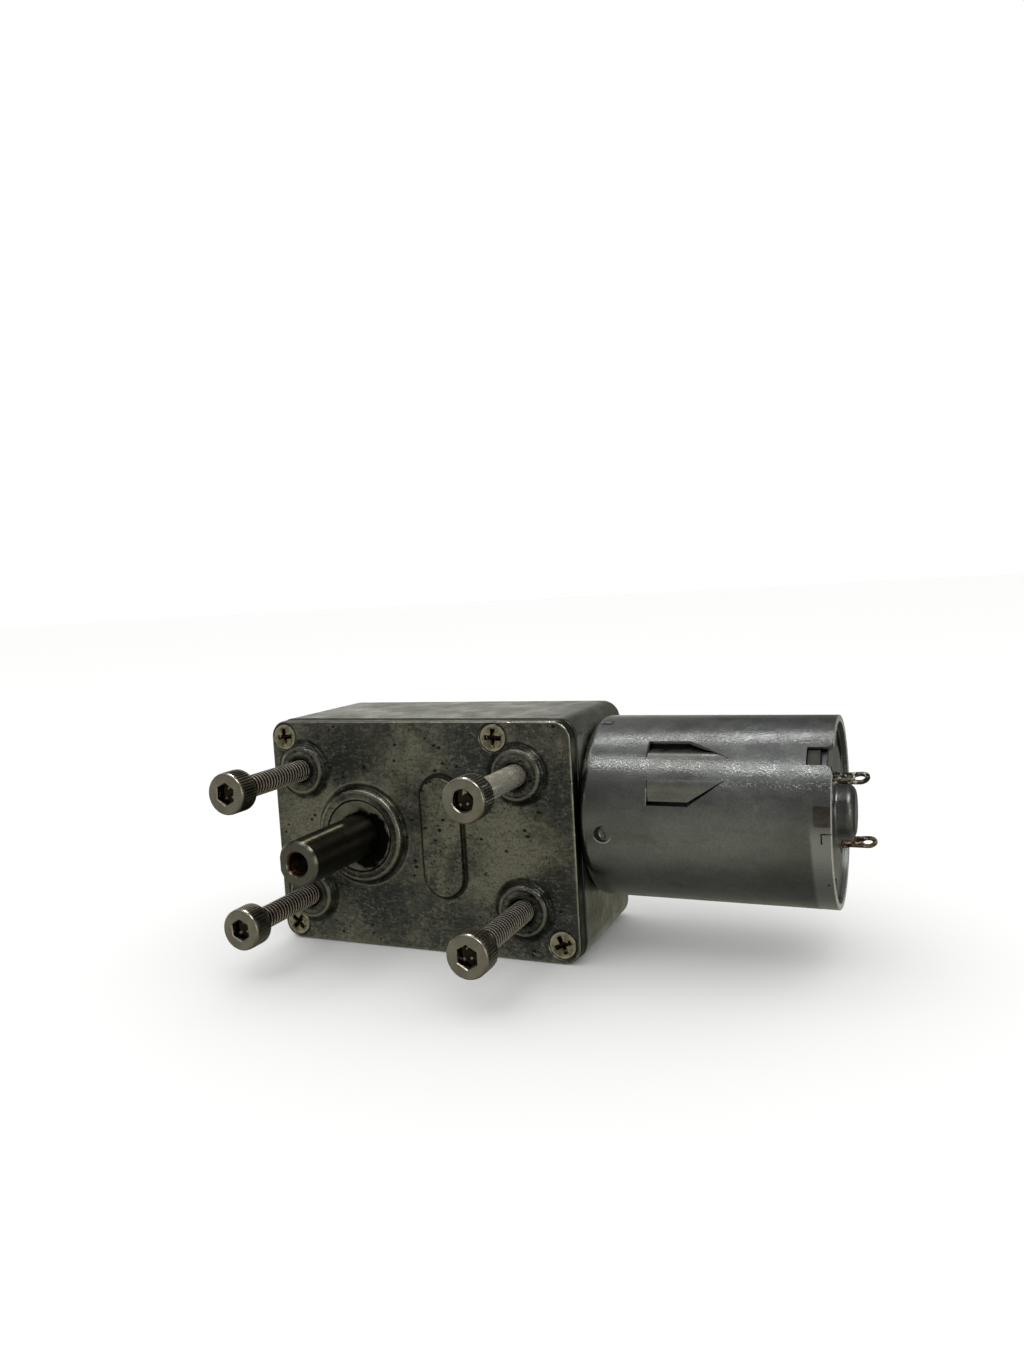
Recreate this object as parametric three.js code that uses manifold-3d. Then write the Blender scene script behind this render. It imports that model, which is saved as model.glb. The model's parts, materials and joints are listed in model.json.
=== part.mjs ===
// Right-angle worm gearmotor: a die-cast box with a worm, a worm wheel and one spur stage inside,
// and a round brushed DC motor on its right-hand end. Millimetres, +Z up.
// Dimensions are given in the gearbox's own frame: X runs from the box's left side towards the
// motor, Y from the front face of the cover into the box, Z up from the face that it rests on.
import * as THREE from "three";
import { mergeVertices } from "three/addons/utils/BufferGeometryUtils.js";
import Module from "manifold-3d";

const wasm = await Module();
wasm.setup();

// ---------------------------------------------------------------- driving dimensions
const GAP = 0.03; // clearance of a running or pressed fit, on the radius
const TIGHT_GAP = 0.02; // the same, for what turns together
const SIDE_PLAY = 0.1; // clearance along an axis
const BOX = {
  length: 46,
  depth: 22,
  height: 32,
  corner: 2.5,
  innerCorner: 1,
  backRound: 1.5,
  wall: 2,
  endWall: 2.5,
};
const COVER = { thickness: 2, frontRound: 0.5 };
const MOUNT = {
  left: 5.4,
  bottom: 7,
  pitchX: 33,
  pitchZ: 18,
  bossR: 3.45,
  bossHeight: 1.1,
  bossFlare: 0.6,
  postR: 3.3,
  postDepth: 3.5,
  webHalf: 2,
  threadDepth: 2.9,
};
const PAD = { x: 27, z: 16.2, width: 5.8, length: 16.4, height: 0.8 };
const OUTPUT = {
  x: 14.4,
  z: 16,
  r: 3,
  end: -15.7,
  bevel: 0.4,
  flatDepth: 0.5,
  flatLength: 12,
  bossR: 6.45,
  bossHeight: 1.2,
  bossFlare: 0.5,
};
const CAP_SCREW = { r: 1.5, length: 16, headR: 2.75, headHeight: 3, hex: 2.5, hexDepth: 1.5, chamfer: 0.25 };
const COVER_SCREW = {
  r: 1,
  length: 6,
  headR: 1.85,
  headHeight: 0.9,
  seatGap: 0.18,
  sunk: 0.04,
  postR: 2.3,
  recess: { length: 2.1, width: 0.5, depth: 1.2 },
};
const MOTOR = { y: 12.6, z: 18.65, r: 12.2, wall: 0.8, length: 31.1, frontRound: 1.3, shaftR: 1 };

// Gear train: single-start right-hand worm, worm wheel, then a pinion on the output gear.
const MODULE = 0.5;
const TEETH = { wheel: 22, pinion: 12, output: 42 };
const WORM_PITCH_R = 2.25;
const ADDENDUM = 0.42;
const DEDENDUM = 0.62;
const PRESSURE_ANGLE = THREE.MathUtils.degToRad(20);
const WORM_BACKLASH = 0.16;
const SPUR_BACKLASH = 0.08;
const WORM_PHASE = -0.25; // in pitches: a gap of the thread faces the wheel's upper tooth
const WHEEL_AXLE = { x: 27, z: 10.9, r: 1 };

// Bands along Y of the pieces inside the box.
const WHEEL_BAND = [10.1, 15.1];
const PINION_BAND = [5, 9.9];
const GEAR_BAND = [5.9, 9.3];

// Stations along X, from the box's left side.
const WORM_BAND = [22.3, 31.7];
const CAN_FRONT = BOX.length;
const CAN_REAR = CAN_FRONT + MOTOR.length;
const NOSE_FRONT = CAN_FRONT - 1.6;
const MAGNET_BAND = [50.5, 70.5];
const CORE_BAND = [54, 67];
const COIL_BAND = [51.7, 69.3];
const COMMUTATOR_BAND = [70.6, 73.6];
const BRUSH_BAND = [71, 73.2];
const HOLDER_BAND = [73.8, 75.7];
const END_PLATE_BAND = [75.75, 76.5];
const DOME_TIP = 78.9;
const TERMINAL_TIP = 81;

// Directions round the motor's axis, in degrees above the forward (-Y) horizontal.
const TAB_DIRECTION = 34;
const TERMINAL_DIRECTION = 45;
const VENT_DIRECTION = -55;

// ---------------------------------------------------------------- materials
const metal = (color, roughness, metalness = 1) =>
  new THREE.MeshStandardMaterial({ color, roughness, metalness });
const MATERIAL = {
  zinc: metal(0x77776f, 0.42),
  zincCover: metal(0x66675f, 0.48),
  can: metal(0x9aa1a8, 0.34),
  steel: metal(0x55534c, 0.22),
  nickel: metal(0xaaa296, 0.28),
  nickelYellow: metal(0xb0a782, 0.32),
  bronze: metal(0x8b6f47, 0.5),
  brass: metal(0xb08d4a, 0.35),
  copper: metal(0xb0623a, 0.35),
  laminate: metal(0x6b6f75, 0.5),
  terminal: metal(0x6a4a35, 0.5),
  ferrite: metal(0x2f2f32, 0.8, 0.1),
  plastic: metal(0x26272a, 0.6, 0),
  nylon: metal(0xd8d2c0, 0.55, 0),
  carbon: metal(0x3b3733, 0.75, 0.2),
};

// ---------------------------------------------------------------- solids from three.js geometry
const FINE = 28;
const MEDIUM = 20;
const COARSE = 14;
const SMALL = 12;
const FORWARD_PLANE = new THREE.Matrix4().makeBasis(
  new THREE.Vector3(1, 0, 0),
  new THREE.Vector3(0, 0, 1),
  new THREE.Vector3(0, -1, 0),
);
const MOTOR_PLANE = new THREE.Matrix4().makeBasis(
  new THREE.Vector3(0, -1, 0),
  new THREE.Vector3(0, 0, 1),
  new THREE.Vector3(-1, 0, 0),
);

function signedVolume(vertices, triangles) {
  const a = new THREE.Vector3();
  const b = new THREE.Vector3();
  const c = new THREE.Vector3();
  let sum = 0;
  for (let i = 0; i < triangles.length; i += 3) {
    a.fromArray(vertices, 3 * triangles[i]);
    b.fromArray(vertices, 3 * triangles[i + 1]);
    c.fromArray(vertices, 3 * triangles[i + 2]);
    sum += a.dot(b.cross(c));
  }
  return sum / 6;
}

// A closed geometry as a manifold solid. A turned profile may run either way round.
function solid(geometry) {
  const bare = new THREE.BufferGeometry();
  bare.setAttribute("position", geometry.getAttribute("position"));
  bare.setIndex(geometry.getIndex());
  const merged = mergeVertices(bare, 1e-4);
  const vertProperties = merged.getAttribute("position").array;
  const triVerts = new Uint32Array(merged.getIndex().array);
  if (signedVolume(vertProperties, triVerts) < 0) {
    for (let i = 0; i < triVerts.length; i += 3) {
      [triVerts[i + 1], triVerts[i + 2]] = [triVerts[i + 2], triVerts[i + 1]];
    }
  }
  return new wasm.Manifold(new wasm.Mesh({ numProp: 3, vertProperties, triVerts }));
}

// The radius whose polygon of so many sides still clears a shaft of radius r all round.
const boreR = (r, sides = MEDIUM, clearance = GAP) => (r + clearance) / Math.cos(Math.PI / sides);

const box = (x0, x1, y0, y1, z0, z1) => {
  const geometry = new THREE.BoxGeometry(x1 - x0, y1 - y0, z1 - z0);
  return solid(geometry.translate((x0 + x1) / 2, (y0 + y1) / 2, (z0 + z1) / 2));
};

// A cylinder or cone along Y, at (x, z), from y0 to y1.
const postY = (x, z, r0, y0, y1, sides = MEDIUM, r1 = r0) => {
  const geometry = new THREE.CylinderGeometry(r1, r0, y1 - y0, sides);
  return solid(geometry.translate(x, (y0 + y1) / 2, z));
};

// A body turned about the Y axis through (x, z). The profile holds [radius, y] pairs.
const turnedY = (x, z, profile, sides = MEDIUM) => {
  const points = profile.map(([r, y]) => new THREE.Vector2(r, y));
  return solid(new THREE.LatheGeometry(points, sides).translate(x, 0, z));
};

// A body turned about the motor's axis. The profile holds [radius, x] pairs.
const turnedX = (profile, sides = MEDIUM, y = MOTOR.y, z = MOTOR.z) => {
  const points = profile.map(([r, x]) => new THREE.Vector2(r, x));
  const geometry = new THREE.LatheGeometry(points, sides);
  return solid(geometry.rotateZ(-Math.PI / 2).translate(0, y, z));
};

const rodX = (r, x0, x1, sides = MEDIUM, y = MOTOR.y, z = MOTOR.z) =>
  turnedX([[0, x0], [r, x0], [r, x1], [0, x1]], sides, y, z);

const tubeY = (x, z, inner, outer, y0, y1, sides = MEDIUM) =>
  turnedY(x, z, [[inner, y0], [outer, y0], [outer, y1], [inner, y1], [inner, y0]], sides);

const tubeX = (inner, outer, x0, x1, sides = MEDIUM) =>
  turnedX([[inner, x0], [outer, x0], [outer, x1], [inner, x1], [inner, x0]], sides);

// An outline in the (x, z) plane, made solid from y0 to y1.
function plateY(shape, y0, y1, options = {}) {
  const geometry = new THREE.ExtrudeGeometry(shape, {
    depth: y1 - y0,
    bevelEnabled: false,
    curveSegments: 2,
    ...options,
  });
  return solid(geometry.applyMatrix4(FORWARD_PLANE).translate(0, y1, 0));
}

// An outline round the motor's axis, made solid from x0 to x1. Its x axis points forward (-Y).
function plateX(shape, x0, x1, turn = 0, curveSegments = 6) {
  const geometry = new THREE.ExtrudeGeometry(shape, { depth: x1 - x0, bevelEnabled: false, curveSegments });
  geometry.rotateZ(THREE.MathUtils.degToRad(turn)).translate(0, 0, -x1);
  return solid(geometry.applyMatrix4(MOTOR_PLANE).translate(0, MOTOR.y, MOTOR.z));
}

// A block beside the motor's axis: r from the axis outwards, t across, x along.
function blockX(r0, r1, t0, t1, x0, x1, turn) {
  const shape = new THREE.Shape();
  shape.moveTo(r0, t0).lineTo(r1, t0).lineTo(r1, t1).lineTo(r0, t1).closePath();
  return plateX(shape, x0, x1, turn);
}

function roundedOutline(x0, x1, z0, z1, r) {
  const shape = new THREE.Shape();
  shape.moveTo(x0 + r, z0).lineTo(x1 - r, z0).absarc(x1 - r, z0 + r, r, -Math.PI / 2, 0);
  shape.lineTo(x1, z1 - r).absarc(x1 - r, z1 - r, r, 0, Math.PI / 2);
  shape.lineTo(x0 + r, z1).absarc(x0 + r, z1 - r, r, Math.PI / 2, Math.PI);
  shape.lineTo(x0, z0 + r).absarc(x0 + r, z0 + r, r, Math.PI, 1.5 * Math.PI);
  return shape;
}

// A ring segment round the motor's axis, centred on the outline's x axis.
function arcOutline(inner, outer, degrees) {
  const half = THREE.MathUtils.degToRad(degrees / 2);
  const shape = new THREE.Shape();
  shape.absarc(0, 0, outer, -half, half, false);
  shape.absarc(0, 0, inner, half, -half, true);
  return shape.closePath();
}

const joined = (...solids) => solids.reduce((a, b) => a.add(b));
const cut = (from, ...tools) => tools.reduce((a, b) => a.subtract(b), from);

// ---------------------------------------------------------------- the assembly
const assembly = new THREE.Group();

function addPiece(name, made, material) {
  const { vertProperties, triVerts } = made.getMesh();
  const geometry = new THREE.BufferGeometry();
  geometry.setAttribute("position", new THREE.BufferAttribute(new Float32Array(vertProperties), 3));
  geometry.setIndex(new THREE.BufferAttribute(new Uint32Array(triVerts), 1));
  geometry.computeVertexNormals();
  const mesh = new THREE.Mesh(geometry, material);
  mesh.name = name;
  assembly.add(mesh);
}

// ---------------------------------------------------------------- fastener positions
const MOUNT_POINTS = [
  { name: "upper_left", x: MOUNT.left, z: MOUNT.bottom + MOUNT.pitchZ, headFace: -17.3 },
  { name: "upper_right", x: MOUNT.left + MOUNT.pitchX, z: MOUNT.bottom + MOUNT.pitchZ, headFace: -16.2 },
  { name: "lower_left", x: MOUNT.left, z: MOUNT.bottom, headFace: -16.6 },
  { name: "lower_right", x: MOUNT.left + MOUNT.pitchX, z: MOUNT.bottom, headFace: -17.6 },
];
const COVER_SCREW_POINTS = [
  { name: "upper_left", x: 2.3, z: 29.6, turn: 0 },
  { name: "upper_right", x: 35.1, z: 29.7, turn: 0 },
  { name: "lower_left", x: 2.3, z: 2.4, turn: 45 },
  { name: "lower_right", x: 43.4, z: 2.6, turn: 25 },
];
const MOTOR_SCREW_RISE = 8;
const MOTOR_SCREW = { r: 1.25, headR: 2.1, headHeight: 1.4, reach: 1.8, slotHalf: 0.3, slotDepth: 0.6 };
const MOTOR_SCREW_POINTS = [
  { name: "upper", z: MOTOR.z + MOTOR_SCREW_RISE },
  { name: "lower", z: MOTOR.z - MOTOR_SCREW_RISE },
];

// ---------------------------------------------------------------- box and cover
const REAR_BEARING = { r: 4, journalR: 2, from: 17.4, to: 19.9, bossR: 5.2, bossFront: 16.9 };
const AXLE_BOSS = { r: 2.6, front: 18.2 };
const AXLE_ENDS = [0.6, 21];
const FRONT_BUSH = { r: 4.95, rear: 3.2 };
const NOSE_R = 3.5;

// A prism of the box's outline, with its edges at one end rounded by r: the front end or the back.
function roundedPrism(y0, y1, r, steps, roundFront) {
  const inset = roundedOutline(r, BOX.length - r, r, BOX.height - r, Math.max(BOX.corner - r, 0.3));
  const [from, to] = roundFront ? [y0, y1 + 2 * r] : [y0 - 2 * r, y1];
  const full = plateY(inset, from + r, to - r, {
    bevelEnabled: true,
    bevelSize: r,
    bevelThickness: r,
    bevelSegments: steps,
  });
  return full.intersect(box(-1, BOX.length + 1, y0, y1, -1, BOX.height + 1));
}

function gearboxHousing() {
  const front = COVER.thickness;
  const inside = BOX.length - BOX.endWall;
  const cavity = plateY(
    roundedOutline(BOX.wall, inside, BOX.wall, BOX.height - BOX.wall, BOX.innerCorner),
    front - 1,
    BOX.depth - BOX.wall,
  );
  let made = roundedPrism(front, BOX.depth, BOX.backRound, 2, false).subtract(cavity);
  const inset = BOX.corner - 2; // the posts stop inside the outer skin
  const skin = roundedOutline(inset, BOX.length - inset, inset, BOX.height - inset, BOX.corner - inset);
  const shell = plateY(skin, front, BOX.depth - 1);
  const posts = [
    ...MOUNT_POINTS.map(({ x, z }) => postY(x, z, MOUNT.postR, front, front + MOUNT.postDepth)),
    ...MOUNT_POINTS.map(({ x, z }) => {
      const [z0, z1] = z > BOX.height / 2 ? [z, BOX.height] : [0, z];
      return box(x - MOUNT.webHalf, x + MOUNT.webHalf, front, front + MOUNT.postDepth, z0, z1);
    }),
    ...COVER_SCREW_POINTS.map(({ x, z }) =>
      postY(x, z, COVER_SCREW.postR, front, front + COVER_SCREW.length, COARSE),
    ),
  ];
  made = made.add(joined(...posts).intersect(shell));
  made = joined(
    made,
    postY(OUTPUT.x, OUTPUT.z, REAR_BEARING.bossR, REAR_BEARING.bossFront, BOX.depth - 1),
    postY(WHEEL_AXLE.x, WHEEL_AXLE.z, AXLE_BOSS.r, AXLE_BOSS.front, BOX.depth - 1, COARSE),
  );
  const axleHole = boreR(WHEEL_AXLE.r, SMALL);
  return cut(
    made,
    ...MOUNT_POINTS.map(({ x, z }) =>
      postY(x, z, boreR(CAP_SCREW.r, COARSE), front - 1, front + MOUNT.threadDepth, COARSE),
    ),
    ...COVER_SCREW_POINTS.map(({ x, z }) =>
      postY(x, z, boreR(COVER_SCREW.r, SMALL), front - 1, front + COVER_SCREW.length - 1, SMALL),
    ),
    postY(OUTPUT.x, OUTPUT.z, boreR(REAR_BEARING.r), REAR_BEARING.bossFront - 1, BOX.depth - BOX.wall),
    postY(WHEEL_AXLE.x, WHEEL_AXLE.z, axleHole, AXLE_BOSS.front - 1, AXLE_ENDS[1] + SIDE_PLAY, SMALL),
    rodX(boreR(NOSE_R, MEDIUM, SIDE_PLAY), inside - 1, BOX.length + 1),
    ...MOTOR_SCREW_POINTS.map(({ z }) =>
      rodX(boreR(MOTOR_SCREW.r, SMALL), inside - 1, BOX.length + 1, SMALL, MOTOR.y, z),
    ),
  );
}

function frontCover() {
  const pad = roundedOutline(
    PAD.x - PAD.width / 2,
    PAD.x + PAD.width / 2,
    PAD.z - PAD.length / 2,
    PAD.z + PAD.length / 2,
    PAD.width / 2 - 0.01,
  );
  const plate = joined(
    roundedPrism(0, COVER.thickness, COVER.frontRound, 1, true),
    ...MOUNT_POINTS.map(({ x, z }) =>
      postY(x, z, MOUNT.bossR, -MOUNT.bossHeight, 1, MEDIUM, MOUNT.bossR + MOUNT.bossFlare),
    ),
    postY(OUTPUT.x, OUTPUT.z, OUTPUT.bossR, -OUTPUT.bossHeight, 1, FINE, OUTPUT.bossR + OUTPUT.bossFlare),
    plateY(pad, -PAD.height, 1),
  );
  const through = COVER.thickness + 1;
  return cut(
    plate,
    ...MOUNT_POINTS.map(({ x, z }) => postY(x, z, boreR(CAP_SCREW.r, COARSE), -5, through, COARSE)),
    ...COVER_SCREW_POINTS.map(({ x, z }) => {
      const seatR = COVER_SCREW.headR + COVER_SCREW.seatGap;
      const holeR = COVER_SCREW.r + COVER_SCREW.seatGap;
      return turnedY(x, z, [
        [0, -1],
        [seatR, -1],
        [seatR, COVER_SCREW.sunk],
        [holeR, COVER_SCREW.headHeight],
        [holeR, through],
        [0, through],
      ], COARSE);
    }),
    postY(OUTPUT.x, OUTPUT.z, boreR(FRONT_BUSH.r, FINE), -5, through, FINE),
    postY(WHEEL_AXLE.x, WHEEL_AXLE.z, boreR(WHEEL_AXLE.r, SMALL), AXLE_ENDS[0] - SIDE_PLAY, through, SMALL),
  );
}

addPiece("gearbox_housing", gearboxHousing(), MATERIAL.zinc);
addPiece("front_cover", frontCover(), MATERIAL.zincCover);

// ---------------------------------------------------------------- fasteners
function capScrew({ x, z, headFace }) {
  const shoulder = headFace + CAP_SCREW.headHeight;
  const tip = shoulder + CAP_SCREW.length;
  const { chamfer } = CAP_SCREW;
  const body = turnedY(x, z, [
    [0, headFace],
    [CAP_SCREW.headR - chamfer, headFace],
    [CAP_SCREW.headR, headFace + chamfer],
    [CAP_SCREW.headR, shoulder],
    [CAP_SCREW.r, shoulder],
    [CAP_SCREW.r, tip - chamfer],
    [CAP_SCREW.r - chamfer, tip],
    [0, tip],
  ], COARSE);
  const socketR = CAP_SCREW.hex / Math.sqrt(3);
  return body.subtract(postY(x, z, socketR, headFace - 1, headFace + CAP_SCREW.hexDepth, 6));
}

function coverScrew({ x, z, turn }) {
  const face = COVER_SCREW.sunk;
  const under = face + COVER_SCREW.headHeight;
  const { recess } = COVER_SCREW;
  const body = turnedY(x, z, [
    [0, face],
    [COVER_SCREW.headR, face],
    [COVER_SCREW.r, under],
    [COVER_SCREW.r, under + COVER_SCREW.length - 1],
    [0, under + COVER_SCREW.length - 1],
  ], COARSE);
  const arm = (length, width) => {
    const geometry = new THREE.BoxGeometry(length, recess.depth, width);
    return solid(geometry.rotateY(THREE.MathUtils.degToRad(turn)).translate(x, face, z));
  };
  return cut(body, arm(recess.length, recess.width), arm(recess.width, recess.length));
}

function motorScrew({ z }) {
  const seat = BOX.length - BOX.endWall - TIGHT_GAP;
  const headFace = seat - MOTOR_SCREW.headHeight;
  const body = turnedX([
    [0, headFace],
    [MOTOR_SCREW.headR, headFace],
    [MOTOR_SCREW.headR, seat],
    [MOTOR_SCREW.r, seat],
    [MOTOR_SCREW.r, CAN_FRONT + MOTOR_SCREW.reach],
    [0, CAN_FRONT + MOTOR_SCREW.reach],
  ], SMALL, MOTOR.y, z);
  const { slotHalf, slotDepth } = MOTOR_SCREW;
  return body.subtract(
    box(headFace - 1, headFace + slotDepth, MOTOR.y - slotHalf, MOTOR.y + slotHalf, z - 3, z + 3),
  );
}

for (const point of MOUNT_POINTS) addPiece("cap_screw_" + point.name, capScrew(point), MATERIAL.nickel);
for (const point of COVER_SCREW_POINTS) {
  addPiece("cover_screw_" + point.name, coverScrew(point), MATERIAL.nickelYellow);
}
for (const point of MOTOR_SCREW_POINTS) {
  addPiece("motor_screw_" + point.name, motorScrew(point), MATERIAL.nickel);
}

// ---------------------------------------------------------------- gears
const DEPTH_AXIS = new THREE.Vector3(0, 0, 1);
const BORE_SEGMENTS = 7; // half the sides of a gear's bore
const involute = (angle) => Math.tan(angle) - angle;

// The outline of a spur gear, with teeth thinner than half the pitch by the backlash.
function gearOutline({ teeth, backlash, bore, phase, flankSteps = 2 }) {
  const pitchR = (MODULE * teeth) / 2;
  const baseR = pitchR * Math.cos(PRESSURE_ANGLE);
  const rootR = pitchR - DEDENDUM;
  const tipR = pitchR + ADDENDUM;
  const halfAtPitch = (Math.PI * MODULE / 2 - backlash) / 2 / pitchR;
  const halfAt = (r) => {
    const angle = Math.acos(Math.min(1, baseR / r));
    return halfAtPitch + involute(PRESSURE_ANGLE) - involute(angle);
  };
  const flankFoot = Math.max(baseR, rootR + 0.05);
  const radii = flankSteps === 1 ? [rootR, tipR] : [rootR, (flankFoot + tipR) / 2, tipR];
  const points = [];
  for (let tooth = 0; tooth < teeth; tooth++) {
    const middle = phase + (2 * Math.PI * tooth) / teeth;
    const flank = radii.map((r) => [r, halfAt(Math.max(r, flankFoot))]);
    for (const [r, half] of flank) points.push([r, middle - half]);
    for (const [r, half] of flank.slice().reverse()) points.push([r, middle + half]);
  }
  const shape = new THREE.Shape(points.map(([r, a]) => new THREE.Vector2(r * Math.cos(a), r * Math.sin(a))));
  const hole = new THREE.Path();
  hole.absarc(0, 0, bore, 0, 2 * Math.PI, true);
  shape.holes.push(hole);
  return shape;
}

// A spur gear about the Y axis through (x, z).
function spurGear({ x, z, band, twist = 0, steps = 1, ...teeth }) {
  const depth = band[1] - band[0];
  const shape = gearOutline(teeth);
  const options = { depth, steps, bevelEnabled: false, curveSegments: BORE_SEGMENTS };
  const geometry = new THREE.ExtrudeGeometry(shape, options);
  const position = geometry.getAttribute("position");
  const point = new THREE.Vector3();
  for (let i = 0; i < position.count; i++) {
    point.fromBufferAttribute(position, i);
    point.applyAxisAngle(DEPTH_AXIS, twist * (point.z - depth / 2));
    position.setXYZ(i, point.x, point.y, point.z);
  }
  return solid(geometry.applyMatrix4(FORWARD_PLANE).translate(x, band[1], z));
}

// The worm's thread as a strip wound round the motor's axis, between two stations.
function wormThread(x0, x1) {
  const pitch = Math.PI * MODULE;
  const rootR = WORM_PITCH_R - DEDENDUM;
  const tipR = WORM_PITCH_R + ADDENDUM;
  const tipHalf = (pitch / 2 - WORM_BACKLASH) / 2 - ADDENDUM * Math.tan(PRESSURE_ANGLE);
  const rootHalf = tipHalf + (ADDENDUM + DEDENDUM) * Math.tan(PRESSURE_ANGLE);
  const profile = [[-rootHalf, rootR], [-tipHalf, tipR], [tipHalf, tipR], [rootHalf, rootR]];
  const around = 18;
  const turns = Math.ceil((x1 - x0) / pitch) + 3;
  const middle = WHEEL_AXLE.x + pitch * WORM_PHASE;
  const positions = [];
  const at = (i, j) => {
    const wrapped = i === around ? 0 : i;
    return wrapped * (turns * 4 + 5) + (i === around ? j + 4 : j);
  };
  for (let i = 0; i < around; i++) {
    const angle = (2 * Math.PI * i) / around;
    for (let j = 0; j < turns * 4 + 5; j++) {
      const [shift, r] = profile[j % 4];
      const x = middle + pitch * (Math.floor(j / 4) - (turns + 1) / 2 + i / around) + shift;
      positions.push(x, MOTOR.y + r * Math.cos(angle), MOTOR.z + r * Math.sin(angle));
    }
  }
  const index = [];
  for (let i = 0; i < around; i++) {
    for (let j = 0; j < turns * 4; j++) {
      index.push(at(i, j), at(i + 1, j), at(i, j + 1), at(i + 1, j), at(i + 1, j + 1), at(i, j + 1));
    }
  }
  // Each open end is a loop of one turn and one tooth's profile, closed on the axis.
  const closeEnd = (loop, x) => {
    const centre = positions.length / 3;
    positions.push(x, MOTOR.y, MOTOR.z);
    loop.forEach((v, k) => index.push(v, loop[(k + 1) % loop.length], centre));
  };
  const low = [];
  const high = [];
  for (let i = 0; i < around; i++) {
    low.push(at(i, 0));
    high.push(at(i, turns * 4));
  }
  for (let j = 4; j > 0; j--) low.push(at(0, j));
  for (let j = 4; j > 0; j--) high.push(at(0, turns * 4 + j));
  closeEnd(low.reverse(), middle - pitch * ((turns + 1) / 2 + 1));
  closeEnd(high, middle + pitch * ((turns + 1) / 2 + 1));
  const geometry = new THREE.BufferGeometry();
  geometry.setAttribute("position", new THREE.Float32BufferAttribute(positions, 3));
  geometry.setIndex(index);
  return solid(geometry).intersect(rodX(tipR + 1, x0, x1));
}

const MESH_DIRECTION = Math.atan2(OUTPUT.z - WHEEL_AXLE.z, OUTPUT.x - WHEEL_AXLE.x);
const PINION_HUB_R = 2.6;
const HUB_OVERLAP = 0.1; // how far a hub starts inside its gear
const WHEEL_HELIX = MODULE / 2 / WORM_PITCH_R / ((MODULE * TEETH.wheel) / 2);

function drivePinion() {
  const teeth = spurGear({
    teeth: TEETH.pinion,
    backlash: SPUR_BACKLASH,
    bore: boreR(WHEEL_AXLE.r, COARSE),
    phase: MESH_DIRECTION + Math.PI / TEETH.pinion,
    x: WHEEL_AXLE.x,
    z: WHEEL_AXLE.z,
    band: PINION_BAND,
  });
  const hub = tubeY(
    WHEEL_AXLE.x,
    WHEEL_AXLE.z,
    boreR(WHEEL_AXLE.r, COARSE),
    PINION_HUB_R,
    PINION_BAND[1] - HUB_OVERLAP,
    WHEEL_BAND[1] + 3 * SIDE_PLAY,
    COARSE,
  );
  return teeth.add(hub);
}

addPiece("drive_pinion", drivePinion(), MATERIAL.steel);
addPiece(
  "worm_wheel",
  spurGear({
    teeth: TEETH.wheel,
    backlash: WORM_BACKLASH,
    bore: boreR(PINION_HUB_R, COARSE, TIGHT_GAP),
    phase: Math.PI / 2,
    x: WHEEL_AXLE.x,
    z: WHEEL_AXLE.z,
    band: WHEEL_BAND,
    twist: WHEEL_HELIX,
    steps: 2,
  }),
  MATERIAL.brass,
);

const OUTPUT_HUB = { r: 5, rear: 12 };

function outputGear() {
  const teeth = spurGear({
    teeth: TEETH.output,
    backlash: SPUR_BACKLASH,
    bore: boreR(OUTPUT.r, COARSE, TIGHT_GAP),
    phase: MESH_DIRECTION + Math.PI,
    x: OUTPUT.x,
    z: OUTPUT.z,
    band: GEAR_BAND,
  });
  const bore = boreR(OUTPUT.r, MEDIUM, TIGHT_GAP);
  const hubFront = GEAR_BAND[1] - HUB_OVERLAP;
  return teeth.add(tubeY(OUTPUT.x, OUTPUT.z, bore, OUTPUT_HUB.r, hubFront, OUTPUT_HUB.rear));
}

addPiece("output_gear", outputGear(), MATERIAL.brass);

const WORM_COLLAR = { r: 2.2, front: WORM_BAND[1] - 0.3, rear: WORM_BAND[1] + 2.3 };

function worm() {
  const bore = rodX(boreR(MOTOR.shaftR, COARSE, TIGHT_GAP), WORM_BAND[0] - 1, WORM_COLLAR.rear + 1, COARSE);
  const collar = rodX(WORM_COLLAR.r, WORM_COLLAR.front, WORM_COLLAR.rear, COARSE);
  return wormThread(...WORM_BAND).add(collar).subtract(bore);
}

addPiece("worm", worm(), MATERIAL.brass);

// ---------------------------------------------------------------- shafts and bearings of the box
const CLIP = { from: 4, to: 4.6, grooveR: 2.6, outerR: 4.3, gapHalf: 1.2, play: 0.05 };
const WASHER_R = 4.8;
const OUTPUT_SPACER_R = 4;
const AXLE_SPACER_R = 1.9;
const SHAFT_BORE = { r: 1.45, mouthR: 1.7, depth: 10, cone: 0.6 };

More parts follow.
